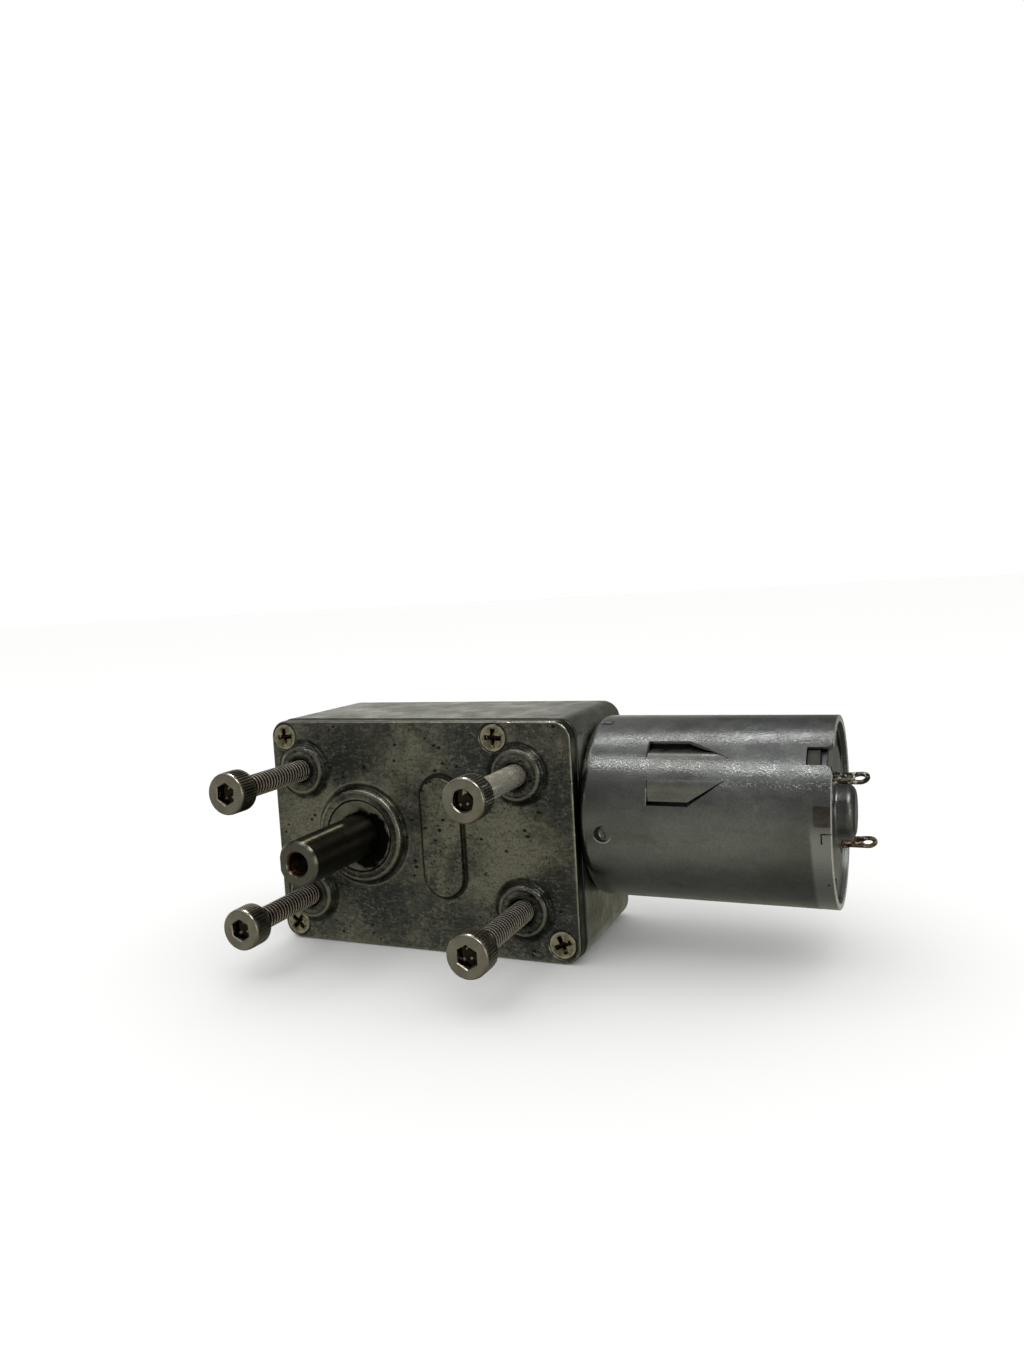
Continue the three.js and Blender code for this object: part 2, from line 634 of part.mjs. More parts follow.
function outputShaft() {
  const { bevel } = OUTPUT;
  const bore = SHAFT_BORE;
  const mouth = bore.mouthR - bore.r;
  const journal = [REAR_BEARING.from - SIDE_PLAY, REAR_BEARING.to - SIDE_PLAY];
  const body = turnedY(OUTPUT.x, OUTPUT.z, [
    [0, OUTPUT.end + bore.depth],
    [bore.r, OUTPUT.end + bore.depth - bore.cone],
    [bore.r, OUTPUT.end + mouth],
    [bore.mouthR, OUTPUT.end],
    [OUTPUT.r - bevel, OUTPUT.end],
    [OUTPUT.r, OUTPUT.end + bevel],
    [OUTPUT.r, CLIP.from],
    [CLIP.grooveR, CLIP.from],
    [CLIP.grooveR, CLIP.to],
    [OUTPUT.r, CLIP.to],
    [OUTPUT.r, journal[0]],
    [REAR_BEARING.journalR, journal[0]],
    [REAR_BEARING.journalR, journal[1]],
    [0, journal[1]],
  ]);
  const flat = OUTPUT.x - OUTPUT.r + OUTPUT.flatDepth;
  return body.subtract(
    box(flat - 3, flat, OUTPUT.end - 1, OUTPUT.end + OUTPUT.flatLength, OUTPUT.z - 4, OUTPUT.z + 4),
  );
}

addPiece("output_shaft", outputShaft(), MATERIAL.steel);
addPiece(
  "output_bush_front",
  tubeY(OUTPUT.x, OUTPUT.z, boreR(OUTPUT.r), FRONT_BUSH.r, -OUTPUT.bossHeight, FRONT_BUSH.rear, FINE),
  MATERIAL.bronze,
);
addPiece(
  "output_bush_rear",
  tubeY(
    OUTPUT.x,
    OUTPUT.z,
    boreR(REAR_BEARING.journalR),
    REAR_BEARING.r,
    REAR_BEARING.from,
    REAR_BEARING.to,
  ),
  MATERIAL.bronze,
);
addPiece(
  "output_thrust_washer",
  tubeY(OUTPUT.x, OUTPUT.z, boreR(OUTPUT.r), WASHER_R, FRONT_BUSH.rear + SIDE_PLAY, CLIP.from - SIDE_PLAY),
  MATERIAL.nickel,
);
addPiece(
  "output_spacer",
  tubeY(
    OUTPUT.x,
    OUTPUT.z,
    boreR(OUTPUT.r),
    OUTPUT_SPACER_R,
    OUTPUT_HUB.rear + SIDE_PLAY,
    REAR_BEARING.from - 3 * SIDE_PLAY,
  ),
  MATERIAL.nylon,
);

// An open spring ring in the shaft's groove.
function retainingClip() {
  const ring = tubeY(
    OUTPUT.x,
    OUTPUT.z,
    boreR(CLIP.grooveR, COARSE, TIGHT_GAP),
    CLIP.outerR,
    CLIP.from + CLIP.play,
    CLIP.to - CLIP.play,
    COARSE,
  );
  const { x, z } = OUTPUT;
  const mouth = box(x - CLIP.gapHalf, x + CLIP.gapHalf, CLIP.from - 1, CLIP.to + 1, z, z + CLIP.outerR + 1);
  return ring.subtract(mouth);
}

addPiece("output_retaining_clip", retainingClip(), MATERIAL.steel);
addPiece(
  "intermediate_axle",
  postY(WHEEL_AXLE.x, WHEEL_AXLE.z, WHEEL_AXLE.r, AXLE_ENDS[0], AXLE_ENDS[1], SMALL),
  MATERIAL.steel,
);
addPiece(
  "axle_spacer_front",
  tubeY(
    WHEEL_AXLE.x,
    WHEEL_AXLE.z,
    boreR(WHEEL_AXLE.r, SMALL),
    AXLE_SPACER_R,
    COVER.thickness + 2 * SIDE_PLAY,
    PINION_BAND[0] - SIDE_PLAY,
    SMALL,
  ),
  MATERIAL.nylon,
);
addPiece(
  "axle_spacer_rear",
  tubeY(
    WHEEL_AXLE.x,
    WHEEL_AXLE.z,
    boreR(WHEEL_AXLE.r, SMALL),
    AXLE_SPACER_R,
    WHEEL_BAND[1] + 4 * SIDE_PLAY,
    AXLE_BOSS.front - SIDE_PLAY,
    SMALL,
  ),
  MATERIAL.nylon,
);

// ---------------------------------------------------------------- motor casing
const CAN_SIDES = 36;
const CAN_INNER_R = MOTOR.r - MOTOR.wall;
const TAB = { from: 55, to: 64, offset: 14, slotWidth: 1.5 };
const NOTCH = { from: 74.1, width: 2.6 };
const NOSE = { innerR: 2.95, mouthR: 1.6, lip: 0.45 };

function motorCan() {
  const round = MOTOR.frontRound;
  const corner = [30, 60].map((degrees) => {
    const a = THREE.MathUtils.degToRad(degrees);
    return [MOTOR.r - round + round * Math.sin(a), CAN_FRONT + round - round * Math.cos(a)];
  });
  const shell = turnedX([
    [NOSE.mouthR, NOSE_FRONT],
    [NOSE_R, NOSE_FRONT],
    [NOSE_R, CAN_FRONT],
    [MOTOR.r - round, CAN_FRONT],
    ...corner,
    [MOTOR.r, CAN_FRONT + round],
    [MOTOR.r, CAN_REAR],
    [CAN_INNER_R, CAN_REAR],
    [CAN_INNER_R, CAN_FRONT + MOTOR.wall],
    [NOSE.innerR, CAN_FRONT + MOTOR.wall],
    [NOSE.innerR, NOSE_FRONT + NOSE.lip],
    [NOSE.mouthR, NOSE_FRONT + NOSE.lip],
    [NOSE.mouthR, NOSE_FRONT],
  ], CAN_SIDES);
  const wallCut = (halfWidth, x0, x1, turn) =>
    blockX(CAN_INNER_R - 0.4, MOTOR.r + 1, -halfWidth, halfWidth, x0, x1, turn);
  return cut(
    shell,
    wallCut(NOTCH.width / 2, NOTCH.from, CAN_REAR + 1, TERMINAL_DIRECTION),
    wallCut(NOTCH.width / 2, NOTCH.from, CAN_REAR + 1, TERMINAL_DIRECTION + 180),
    wallCut(TAB.slotWidth / 2, TAB.from, TAB.to, TAB_DIRECTION + TAB.offset),
    wallCut(TAB.slotWidth / 2, TAB.from, TAB.to, TAB_DIRECTION - TAB.offset),
    ...MOTOR_SCREW_POINTS.map(({ z }) =>
      rodX(boreR(MOTOR_SCREW.r, SMALL), CAN_FRONT - 1, CAN_FRONT + 1, SMALL, MOTOR.y, z),
    ),
  );
}

const TERMINAL = { r: 7.4, width: 2, thickness: 0.4, eyeR: 0.5, eyeInset: 1, clearance: 0.5 };
const VENT_RING = { inner: 8.4, outer: 10.4, degrees: 40 };

// What leaves the same openings in the brush holder and in the end plate.
function rearOpenings(x0, x1, clearance) {
  const half = TERMINAL.thickness / 2 + clearance;
  const across = TERMINAL.width / 2 + clearance;
  const sides = [0, 180];
  return [
    ...sides.map((turn) =>
      blockX(TERMINAL.r - half, TERMINAL.r + half, -across, across, x0, x1, TERMINAL_DIRECTION + turn),
    ),
    ...sides.map((turn) =>
      plateX(arcOutline(VENT_RING.inner, VENT_RING.outer, VENT_RING.degrees), x0, x1, VENT_DIRECTION + turn),
    ),
  ];
}

const REAR_SLEEVE = { r: 3, from: 76, to: 78.4 };
const PRESS_GAP = 0.05; // what the pieces inside the can leave around them

function endPlate() {
  const [front, rear] = END_PLATE_BAND;
  const domeR = REAR_SLEEVE.r + 0.5;
  const body = turnedX([
    [0, REAR_SLEEVE.to + SIDE_PLAY],
    [REAR_SLEEVE.r + PRESS_GAP, REAR_SLEEVE.to + SIDE_PLAY],
    [REAR_SLEEVE.r + PRESS_GAP, front],
    [CAN_INNER_R - PRESS_GAP, front],
    [CAN_INNER_R - PRESS_GAP, rear],
    [domeR, rear],
    [domeR, DOME_TIP - 0.6],
    [domeR - 0.7, DOME_TIP],
    [0, DOME_TIP],
  ], FINE);
  return cut(body, ...rearOpenings(front - 1, rear + 0.2, TERMINAL.clearance));
}

function brushHolder() {
  const [front, rear] = HOLDER_BAND;
  const disc = tubeX(REAR_SLEEVE.r + 0.4, CAN_INNER_R - PRESS_GAP, front, rear, FINE);
  const posts = [0, 180].map((turn) =>
    blockX(4.6, 7, 4.2, 6.4, BRUSH_BAND[0], front + 0.2, TERMINAL_DIRECTION + turn),
  );
  return cut(joined(disc, ...posts), ...rearOpenings(front - 0.2, rear + 1, PRESS_GAP));
}

addPiece("motor_can", motorCan(), MATERIAL.can);
addPiece("motor_end_plate", endPlate(), MATERIAL.can);
addPiece("brush_holder", brushHolder(), MATERIAL.plastic);

// ---------------------------------------------------------------- motor insides
const MAGNET = { inner: 8.7, outer: CAN_INNER_R - PRESS_GAP, degrees: 132 };
const MAGNET_CLIP = { inner: 10.5, degrees: 34 };
const SIDES = [
  { name: "upper", turn: 90 },
  { name: "lower", turn: -90 },
];
for (const { name, turn } of SIDES) {
  const outline = arcOutline(MAGNET.inner, MAGNET.outer, MAGNET.degrees);
  addPiece("magnet_" + name, plateX(outline, ...MAGNET_BAND, TAB_DIRECTION + turn), MATERIAL.ferrite);
}
addPiece(
  "magnet_clip",
  plateX(
    arcOutline(MAGNET_CLIP.inner, MAGNET.outer, MAGNET_CLIP.degrees),
    ...MAGNET_BAND,
    TAB_DIRECTION + 180,
  ),
  MATERIAL.steel,
);

const POLES = [0, 120, 240];
const CORE = { r: 8.2, shoeR: 6.9, hubR: 3, neckHalf: 1.4, shoeDegrees: 96 };
const COIL = { inset: 0.15, halfWidth: 3.1 };

function armatureCore() {
  const hub = tubeX(boreR(MOTOR.shaftR, COARSE, TIGHT_GAP), CORE.hubR, ...CORE_BAND, COARSE);
  const poles = POLES.flatMap((turn) => [
    blockX(CORE.hubR - 0.5, CORE.shoeR + 0.3, -CORE.neckHalf, CORE.neckHalf, ...CORE_BAND, turn),
    plateX(arcOutline(CORE.shoeR, CORE.r, CORE.shoeDegrees), ...CORE_BAND, turn, 4),
  ]);
  return joined(hub, ...poles);
}

function armatureCoil(turn) {
  const { inset, halfWidth } = COIL;
  const from = CORE.hubR + 2 * inset;
  const to = Math.sqrt(CORE.shoeR ** 2 - halfWidth ** 2) - SIDE_PLAY;
  const neck = CORE.neckHalf + inset;
  return cut(
    blockX(from, to, -halfWidth, halfWidth, ...COIL_BAND, turn),
    blockX(from - 1, to + 1, -neck, neck, CORE_BAND[0] - inset, CORE_BAND[1] + inset, turn),
  );
}

addPiece("armature_core", armatureCore(), MATERIAL.laminate);
POLES.forEach((turn, i) => addPiece("armature_coil_" + (i + 1), armatureCoil(turn), MATERIAL.copper));

const COMMUTATOR_R = 2.6;
const COMMUTATOR_SIDES = 24;
const COMMUTATOR_SLOT = { halfWidth: 0.2, depth: 0.5 };

function commutator() {
  const bore = boreR(MOTOR.shaftR, COARSE, TIGHT_GAP);
  const body = tubeX(bore, COMMUTATOR_R, ...COMMUTATOR_BAND, COMMUTATOR_SIDES);
  const [front, rear] = COMMUTATOR_BAND;
  const { halfWidth, depth } = COMMUTATOR_SLOT;
  const slots = POLES.map((turn) =>
    blockX(COMMUTATOR_R - depth, COMMUTATOR_R + 1, -halfWidth, halfWidth, front - 1, rear + 1, turn + 60),
  );
  return cut(body, ...slots);
}

addPiece("commutator", commutator(), MATERIAL.copper);
addPiece(
  "motor_shaft",
  rodX(MOTOR.shaftR, WORM_BAND[0] - 0.8, REAR_SLEEVE.to - SIDE_PLAY, COARSE),
  MATERIAL.steel,
);
addPiece(
  "shaft_spacer",
  tubeX(boreR(MOTOR.shaftR, COARSE, TIGHT_GAP), AXLE_SPACER_R, CAN_FRONT + 1.4, COIL_BAND[0] - 0.3, COARSE),
  MATERIAL.nylon,
);
addPiece(
  "motor_bearing_front",
  tubeX(
    boreR(MOTOR.shaftR, COARSE),
    NOSE.innerR - PRESS_GAP,
    NOSE_FRONT + NOSE.lip + PRESS_GAP,
    CAN_FRONT + 1.2,
  ),
  MATERIAL.bronze,
);
addPiece(
  "motor_bearing_rear",
  tubeX(boreR(MOTOR.shaftR, COARSE), REAR_SLEEVE.r, REAR_SLEEVE.from, REAR_SLEEVE.to),
  MATERIAL.bronze,
);

// ---------------------------------------------------------------- brushes and terminals
const BRUSH = { from: COMMUTATOR_R + 2 * GAP, to: 4.3, halfWidth: 1 };
const ARM = { thickness: 0.25, from: -1.2, to: 6.4 };

function terminal(turn) {
  const half = TERMINAL.thickness / 2;
  const across = TERMINAL.width / 2;
  const eye = TERMINAL_TIP - TERMINAL.eyeInset;
  // The lug's outline runs along the motor (x) and across the lug (y).
  const outline = new THREE.Shape();
  outline.moveTo(BRUSH_BAND[0], -across).lineTo(eye, -across);
  outline.absarc(eye, 0, across, -Math.PI / 2, Math.PI / 2, false);
  outline.lineTo(BRUSH_BAND[0], across).closePath();
  const hole = new THREE.Path();
  hole.absarc(eye, 0, TERMINAL.eyeR, 0, 2 * Math.PI, true);
  outline.holes.push(hole);
  const geometry = new THREE.ExtrudeGeometry(outline, {
    depth: TERMINAL.thickness,
    bevelEnabled: false,
    curveSegments: 4,
  });
  const direction = THREE.MathUtils.degToRad(TERMINAL_DIRECTION + turn);
  const outward = new THREE.Vector3(0, -Math.cos(direction), Math.sin(direction));
  const along = new THREE.Vector3(1, 0, 0);
  const sideways = new THREE.Vector3().crossVectors(outward, along);
  geometry.applyMatrix4(new THREE.Matrix4().makeBasis(along, sideways, outward));
  const foot = outward.multiplyScalar(TERMINAL.r - half);
  return solid(geometry.translate(0, MOTOR.y + foot.y, MOTOR.z + foot.z));
}

[
  { name: "front", turn: 0 },
  { name: "back", turn: 180 },
].forEach(({ name, turn }) => {
  const direction = TERMINAL_DIRECTION + turn;
  const { from, to, halfWidth } = BRUSH;
  addPiece("terminal_" + name, terminal(turn), MATERIAL.terminal);
  addPiece(
    "brush_" + name,
    blockX(from, to, -halfWidth, halfWidth, ...BRUSH_BAND, direction),
    MATERIAL.carbon,
  );
  addPiece(
    "brush_arm_" + name,
    blockX(to + TIGHT_GAP, to + ARM.thickness, ARM.from, ARM.to, ...BRUSH_BAND, direction),
    MATERIAL.bronze,
  );
});

// ---------------------------------------------------------------- placing
// The origin is the middle of the whole object's footprint, on the face that it rests on.
const headFaces = MOUNT_POINTS.map(({ headFace }) => headFace);
const ends = {
  y: [Math.min(...headFaces), MOTOR.y + MOTOR.r],
  x: [0, TERMINAL_TIP],
};
assembly.position.set(-(ends.x[0] + ends.x[1]) / 2, -(ends.y[0] + ends.y[1]) / 2, 0);

export default assembly;
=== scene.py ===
import json
import math

import bmesh
import bpy
from mathutils import Matrix, Vector

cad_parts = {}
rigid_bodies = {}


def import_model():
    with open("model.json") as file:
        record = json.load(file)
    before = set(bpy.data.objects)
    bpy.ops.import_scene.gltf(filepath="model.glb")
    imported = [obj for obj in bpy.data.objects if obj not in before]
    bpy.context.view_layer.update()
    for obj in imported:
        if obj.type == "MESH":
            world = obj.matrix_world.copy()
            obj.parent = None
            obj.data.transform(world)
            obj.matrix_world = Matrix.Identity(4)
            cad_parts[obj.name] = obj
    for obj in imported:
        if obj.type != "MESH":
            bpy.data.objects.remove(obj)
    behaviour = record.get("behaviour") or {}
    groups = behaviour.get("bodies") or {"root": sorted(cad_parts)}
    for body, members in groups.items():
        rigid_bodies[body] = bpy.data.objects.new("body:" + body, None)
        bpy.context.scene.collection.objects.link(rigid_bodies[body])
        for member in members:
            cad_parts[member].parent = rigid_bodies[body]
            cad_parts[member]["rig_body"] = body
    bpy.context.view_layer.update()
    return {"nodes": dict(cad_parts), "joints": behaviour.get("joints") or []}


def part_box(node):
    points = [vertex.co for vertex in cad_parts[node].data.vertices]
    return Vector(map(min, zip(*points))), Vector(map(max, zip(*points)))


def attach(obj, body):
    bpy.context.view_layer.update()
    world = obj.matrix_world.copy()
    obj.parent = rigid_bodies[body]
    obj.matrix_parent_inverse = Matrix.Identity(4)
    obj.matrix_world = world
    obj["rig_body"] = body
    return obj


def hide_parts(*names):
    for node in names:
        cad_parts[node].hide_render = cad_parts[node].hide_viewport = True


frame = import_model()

MM = 0.001

# ---- dimensions, from the frame
COVER_THICKNESS, COVER_EDGE, COVER_INSET = 2.0, 0.34, 0.1
BOX_LENGTH, BOX_DEPTH, BOX_HEIGHT, BOX_CORNER = 46.0, 22.0, 32.0, 2.5
BACK_EDGE, SEAM = 1.5, 0.09
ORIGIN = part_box("gearbox_housing")[0] - Vector((0, COVER_THICKNESS * MM, 0))


def span(node):
    """Lowest and highest corner of a CAD node, in millimetres in the gearbox's frame."""
    low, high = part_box(node)
    return (low - ORIGIN) / MM, (high - ORIGIN) / MM


def centre_xz(node):
    low, high = span(node)
    return (low.x + high.x) / 2, (low.z + high.z) / 2


def joint_point(name):
    found = next(j for j in frame["joints"] if j["name"] == name)
    return (Vector(found["pos_m"]) - ORIGIN) / MM


MOTOR_AXIS = joint_point("rotor_spin")
MOTOR_CENTRE = Vector((0, MOTOR_AXIS.y, MOTOR_AXIS.z))
OUTPUT_AXIS = joint_point("output_spin")
SHAFT_XZ = (OUTPUT_AXIS.x, OUTPUT_AXIS.z)
AXLE_XZ = centre_xz("intermediate_axle")
NOSE_FRONT, CAN_REAR = (corner.x for corner in span("motor_can"))
CAN_FRONT = BOX_LENGTH
CAN_R, CAN_INNER_R = 12.2, 11.4
END_PLATE_REAR = 76.5
STAKE_X, STAKE_TURN = 49.3, -5.5
TERMINAL_DIRECTION, TERMINAL_R = 45, 7.4
CORNERS = ["upper_left", "upper_right", "lower_left", "lower_right"]
MOUNTS = {name: centre_xz("cap_screw_" + name) for name in CORNERS}
COVER_SCREWS = {name: centre_xz("cover_screw_" + name) for name in CORNERS}


# ---- mesh building
def mesh_from(bm):
    mesh = bpy.data.meshes.new("part")
    bm.to_mesh(mesh)
    bm.free()
    return mesh


def mesh_of(rings, closed=False):
    """A closed mesh through rings of points. A ring of one point is a pole."""
    bm = bmesh.new()
    made = [[bm.verts.new(p) for p in ring] for ring in rings]
    pairs = list(zip(made, made[1:]))
    if closed:
        pairs.append((made[-1], made[0]))
    for a, b in pairs:
        count = max(len(a), len(b))
        for i in range(count):
            k = (i + 1) % count
            if len(a) == 1:
                corners = [a[0], b[k], b[i]]
            elif len(b) == 1:
                corners = [a[i], a[k], b[0]]
            else:
                corners = [a[i], a[k], b[k], b[i]]
            bm.faces.new(corners)
    if not closed:
        for ring in (made[0], made[-1]):
            if len(ring) > 2:
                bm.faces.new(ring)
    bmesh.ops.recalc_face_normals(bm, faces=bm.faces)
    return mesh_from(bm)


def on_y_axis(x, z):
    """Turns (radius, angle, station) into a point about a Y axis through (x, z)."""
    return lambda r, a, s: Vector((x + r * math.cos(a), s, z + r * math.sin(a)))


def on_x_axis(y, z):
    """The same about an X axis through (y, z)."""
    return lambda r, a, s: Vector((s, y + r * math.cos(a), z + r * math.sin(a)))


def on_motor_axis(r, a, s):
    """The same about the motor's axis, with the angle measured up from the front."""
    return Vector((s, MOTOR_AXIS.y - r * math.cos(a), MOTOR_AXIS.z + r * math.sin(a)))


on_shaft, on_axle = on_y_axis(*SHAFT_XZ), on_y_axis(*AXLE_XZ)


def radial(degrees):
    """Directions away from the motor's axis and onward round it, at an angle up from the front."""
    a = math.radians(degrees)
    return Vector((0, -math.cos(a), math.sin(a))), Vector((0, math.sin(a), math.cos(a)))


def turned(profile, place, segments=96, closed=False):
    """A body turned about an axis. The profile holds (radius, station) pairs."""
    rings = []
    for r, s in profile:
        if r < 1e-6:
            rings.append([place(0, 0, s)])
        else:
            rings.append([place(r, 2 * math.pi * i / segments, s) for i in range(segments)])
    return mesh_of(rings, closed)


def rod(place, r, start, end, segments):
    return turned([(0, start), (r, start), (r, end), (0, end)], place, segments)


def rounding(r0, s0, r1, s1, steps=5, bulge=True):
    """Profile points on a quarter ellipse from (r0, s0) to (r1, s1). It leaves along the station
    axis first if bulge is set, and along the radius first if not."""
    points = []
    for i in range(steps + 1):
        t = math.pi / 2 * i / steps
        u, v = (1 - math.cos(t), math.sin(t)) if bulge else (math.sin(t), 1 - math.cos(t))
        points.append((r0 + (r1 - r0) * u, s0 + (s1 - s0) * v))
    return points


def rounded_outline(x0, x1, z0, z1, r, steps=10):
    """Points round a rectangle with rounded corners."""
    corners = [(x1 - r, z0 + r, -90), (x1 - r, z1 - r, 0), (x0 + r, z1 - r, 90), (x0 + r, z0 + r, 180)]
    points = []
    for x, z, start in corners:
        for i in range(steps + 1):
            a = math.radians(start + 90 * i / steps)
            points.append((x + r * math.cos(a), z + r * math.sin(a)))
    return points


def prism(outline, rings):
    """A solid through rings of an outline. outline(inset) gives (x, z) points."""
    return mesh_of([[Vector((x, y, z)) for x, z in outline(inset)] for inset, y in rings])


def block(x0, x1, y0, y1, z0, z1):
    return prism(lambda inset: [(x0, z0), (x1, z0), (x1, z1), (x0, z1)], [(0, y0), (0, y1)])


def added(name, data):
    """A new object in the scene."""
    obj = bpy.data.objects.new(name, data)
    bpy.context.scene.collection.objects.link(obj)
    return obj


def boolean(base, tools, operation):
    """The base mesh with each tool mesh cut away from it or joined to it."""
    body = added("tool", base)
    helpers = [added("tool", tool) for tool in tools]
    for helper in helpers:
        modifier = body.modifiers.new("tool", "BOOLEAN")
        modifier.operation = operation
        modifier.solver = "MANIFOLD"
        modifier.object = helper
    made = bpy.data.meshes.new_from_object(body.evaluated_get(bpy.context.evaluated_depsgraph_get()))
    for obj in [body, *helpers]:
        data = obj.data
        bpy.data.objects.remove(obj)
        bpy.data.meshes.remove(data)
    return made


def cut(base, *tools):
    return boolean(base, tools, "DIFFERENCE")


def joined(base, *tools):
    return boolean(base, tools, "UNION")


def together(*meshes):
    """Several closed meshes as one mesh, without joining their surfaces."""
    bm = bmesh.new()
    for mesh in meshes:
        bm.from_mesh(mesh)
        bpy.data.meshes.remove(mesh)
    return mesh_from(bm)


def piece(name, mesh, node, material, sharp=30, pivot=(0, 0, 0)):
    """Places a finished mesh as the visible stand-in for a CAD node. Its own coordinates, in
    metres, are counted from the pivot. Edges above the sharp angle stay crisp."""
    pivot = Vector(pivot)
    mesh.transform(Matrix.Scale(MM, 4) @ Matrix.Translation(-pivot))
    mesh.name = name
    mesh.shade_smooth()
    mesh.set_sharp_from_angle(angle=math.radians(sharp))
    mesh.materials.clear()
    mesh.materials.append(material)
    for polygon in mesh.polygons:
        polygon.material_index = 0
    obj = added(name, mesh)
    obj.location = ORIGIN + pivot * MM
    modifier = obj.modifiers.new("even normals", "WEIGHTED_NORMAL")
    modifier.keep_sharp = True
    modifier.weight = 80
    body = frame["nodes"][node]["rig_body"]
    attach(obj, body)
    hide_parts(node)
    return obj


# ---- finishes
class Nodes:
    """Builds a node tree from small steps. A value is a number, a colour or a socket."""

    def __init__(self, tree):
        self.tree = tree

    def link(self, value, socket):
        if isinstance(value, bpy.types.NodeSocket):
            self.tree.links.new(value, socket)
        else:
            socket.default_value = (*value, 1) if socket.type == "RGBA" else value

    def node(self, kind, settings=(), **inputs):
        """A node of one kind, with its settings and with values for its inputs by name."""
        node = self.tree.nodes.new("ShaderNode" + kind)
        for name, value in dict(settings).items():
            setattr(node, name, value)
        for name, value in inputs.items():
            self.link(value, node.inputs[name])
        return node

    def maths(self, operation, *values):
        node = self.node("Math", dict(operation=operation))
        for value, socket in zip(values, node.inputs):
            self.link(value, socket)
        return node.outputs[0]

    def times(self, *values):
        return self.maths("MULTIPLY", *values)

    def total(self, first, *others):
        for value in others:
            first = self.maths("ADD", first, value)
        return first

    def highest(self, first, *others):
        for value in others:
            first = self.maths("MAXIMUM", first, value)
        return first

    def hypotenuse(self, a, b):
        return self.maths("SQRT", self.total(self.times(a, a), self.times(b, b)))

    def ranged(self, value, low, high, to_low=0.0, to_high=1.0):
        """value from low..high, eased to to_low..to_high."""
        node = self.node("MapRange", dict(interpolation_type="SMOOTHSTEP"), Value=value)
        for socket, number in zip(list(node.inputs)[1:5], (low, high, to_low, to_high)):
            socket.default_value = number
        return node.outputs["Result"]

    def below(self, value, low, high):
        """1 below low, easing to 0 at high."""
        return self.ranged(value, low, high, 1.0, 0.0)

    def window(self, value, low, high, soft):
        """1 where low < value < high, with soft edges."""
        rise = self.ranged(value, low - soft, low + soft)
        return self.times(rise, self.below(value, high - soft, high + soft))

    def mix(self, factor, a, b):
        node = self.node("Mix", dict(data_type="RGBA"), Factor=factor)
        for value, socket in zip((a, b), node.inputs[6:8]):
            self.link(value, socket)
        return node.outputs[2]


class Finish(Nodes):
    """One procedural material. Its colour is laid on in coats."""

    def __init__(self, name):
        self.material = bpy.data.materials.new(name)
        self.material.use_nodes = True
        super().__init__(self.material.node_tree)
        self.shader = self.tree.nodes["Principled BSDF"]
        self.place = self.node("TexCoord").outputs["Object"]

    def mapped(self, scale=(1, 1, 1), offset=(0, 0, 0)):
        return self.node("Mapping", Vector=self.place, Scale=scale, Location=offset).outputs[0]

    def noise(self, scale, detail=4, rough=0.55, vector=None, distortion=0.0):
        made = self.node("TexNoise", Vector=vector or self.place, Scale=scale, Detail=detail, Roughness=rough,
                         Distortion=distortion)
        return made.outputs["Fac"]

    def cells(self, scale, vector=None):
        return self.node("TexVoronoi", Vector=vector or self.place, Scale=scale).outputs["Distance"]

    def axes(self):
        return self.node("SeparateXYZ", Vector=self.place).outputs

    def in_mm(self, axis):
        return self.maths("DIVIDE", self.axes()[axis], MM)

    def reach(self, x=0, z=0):
        """Distance in millimetres to the Y line through (x, z)."""
        node = self.node("VectorMath", dict(operation="DISTANCE"))
        self.link(self.mapped((1 / MM, 0, 1 / MM)), node.inputs[0])
        node.inputs[1].default_value = (x, 0, z)
        return node.outputs["Value"]

    def coat(self, mask, colour, share=None):
        """Lays a colour over what is there, where the mask is 1."""
        self.colour = self.mix(mask if share is None else self.times(mask, share), self.colour, colour)

    def clouds(self, a, b, scale, detail=4, rough=0.6):
        """Starts with one colour that drifts into another."""
        self.colour = self.mix(self.ranged(self.noise(scale, detail, rough), 0.35, 0.7), a, b)

    def varied(self, low, high, scale, detail=3, rough=0.6):
        """A number that drifts from low to high over the surface."""
        return self.ranged(self.noise(scale, detail, rough), 0.3, 0.7, low, high)

    def bump(self, height, distance, strength=1.0, after=None):
        more = {} if after is None else dict(Normal=after)
        return self.node("Bump", Strength=strength, Distance=distance, Height=height, **more).outputs[0]

    def done(self, roughness, metallic, normal=None, **sockets):
        sockets.update({"Base Color": self.colour, "Roughness": roughness, "Metallic": metallic})
        if normal is not None:
            sockets["Normal"] = normal
        for name, value in sockets.items():
            self.link(value, self.shader.inputs[name.replace("_", " ")])
        return self.material


def scaled(colour, share):
    return tuple(share * c for c in colour)


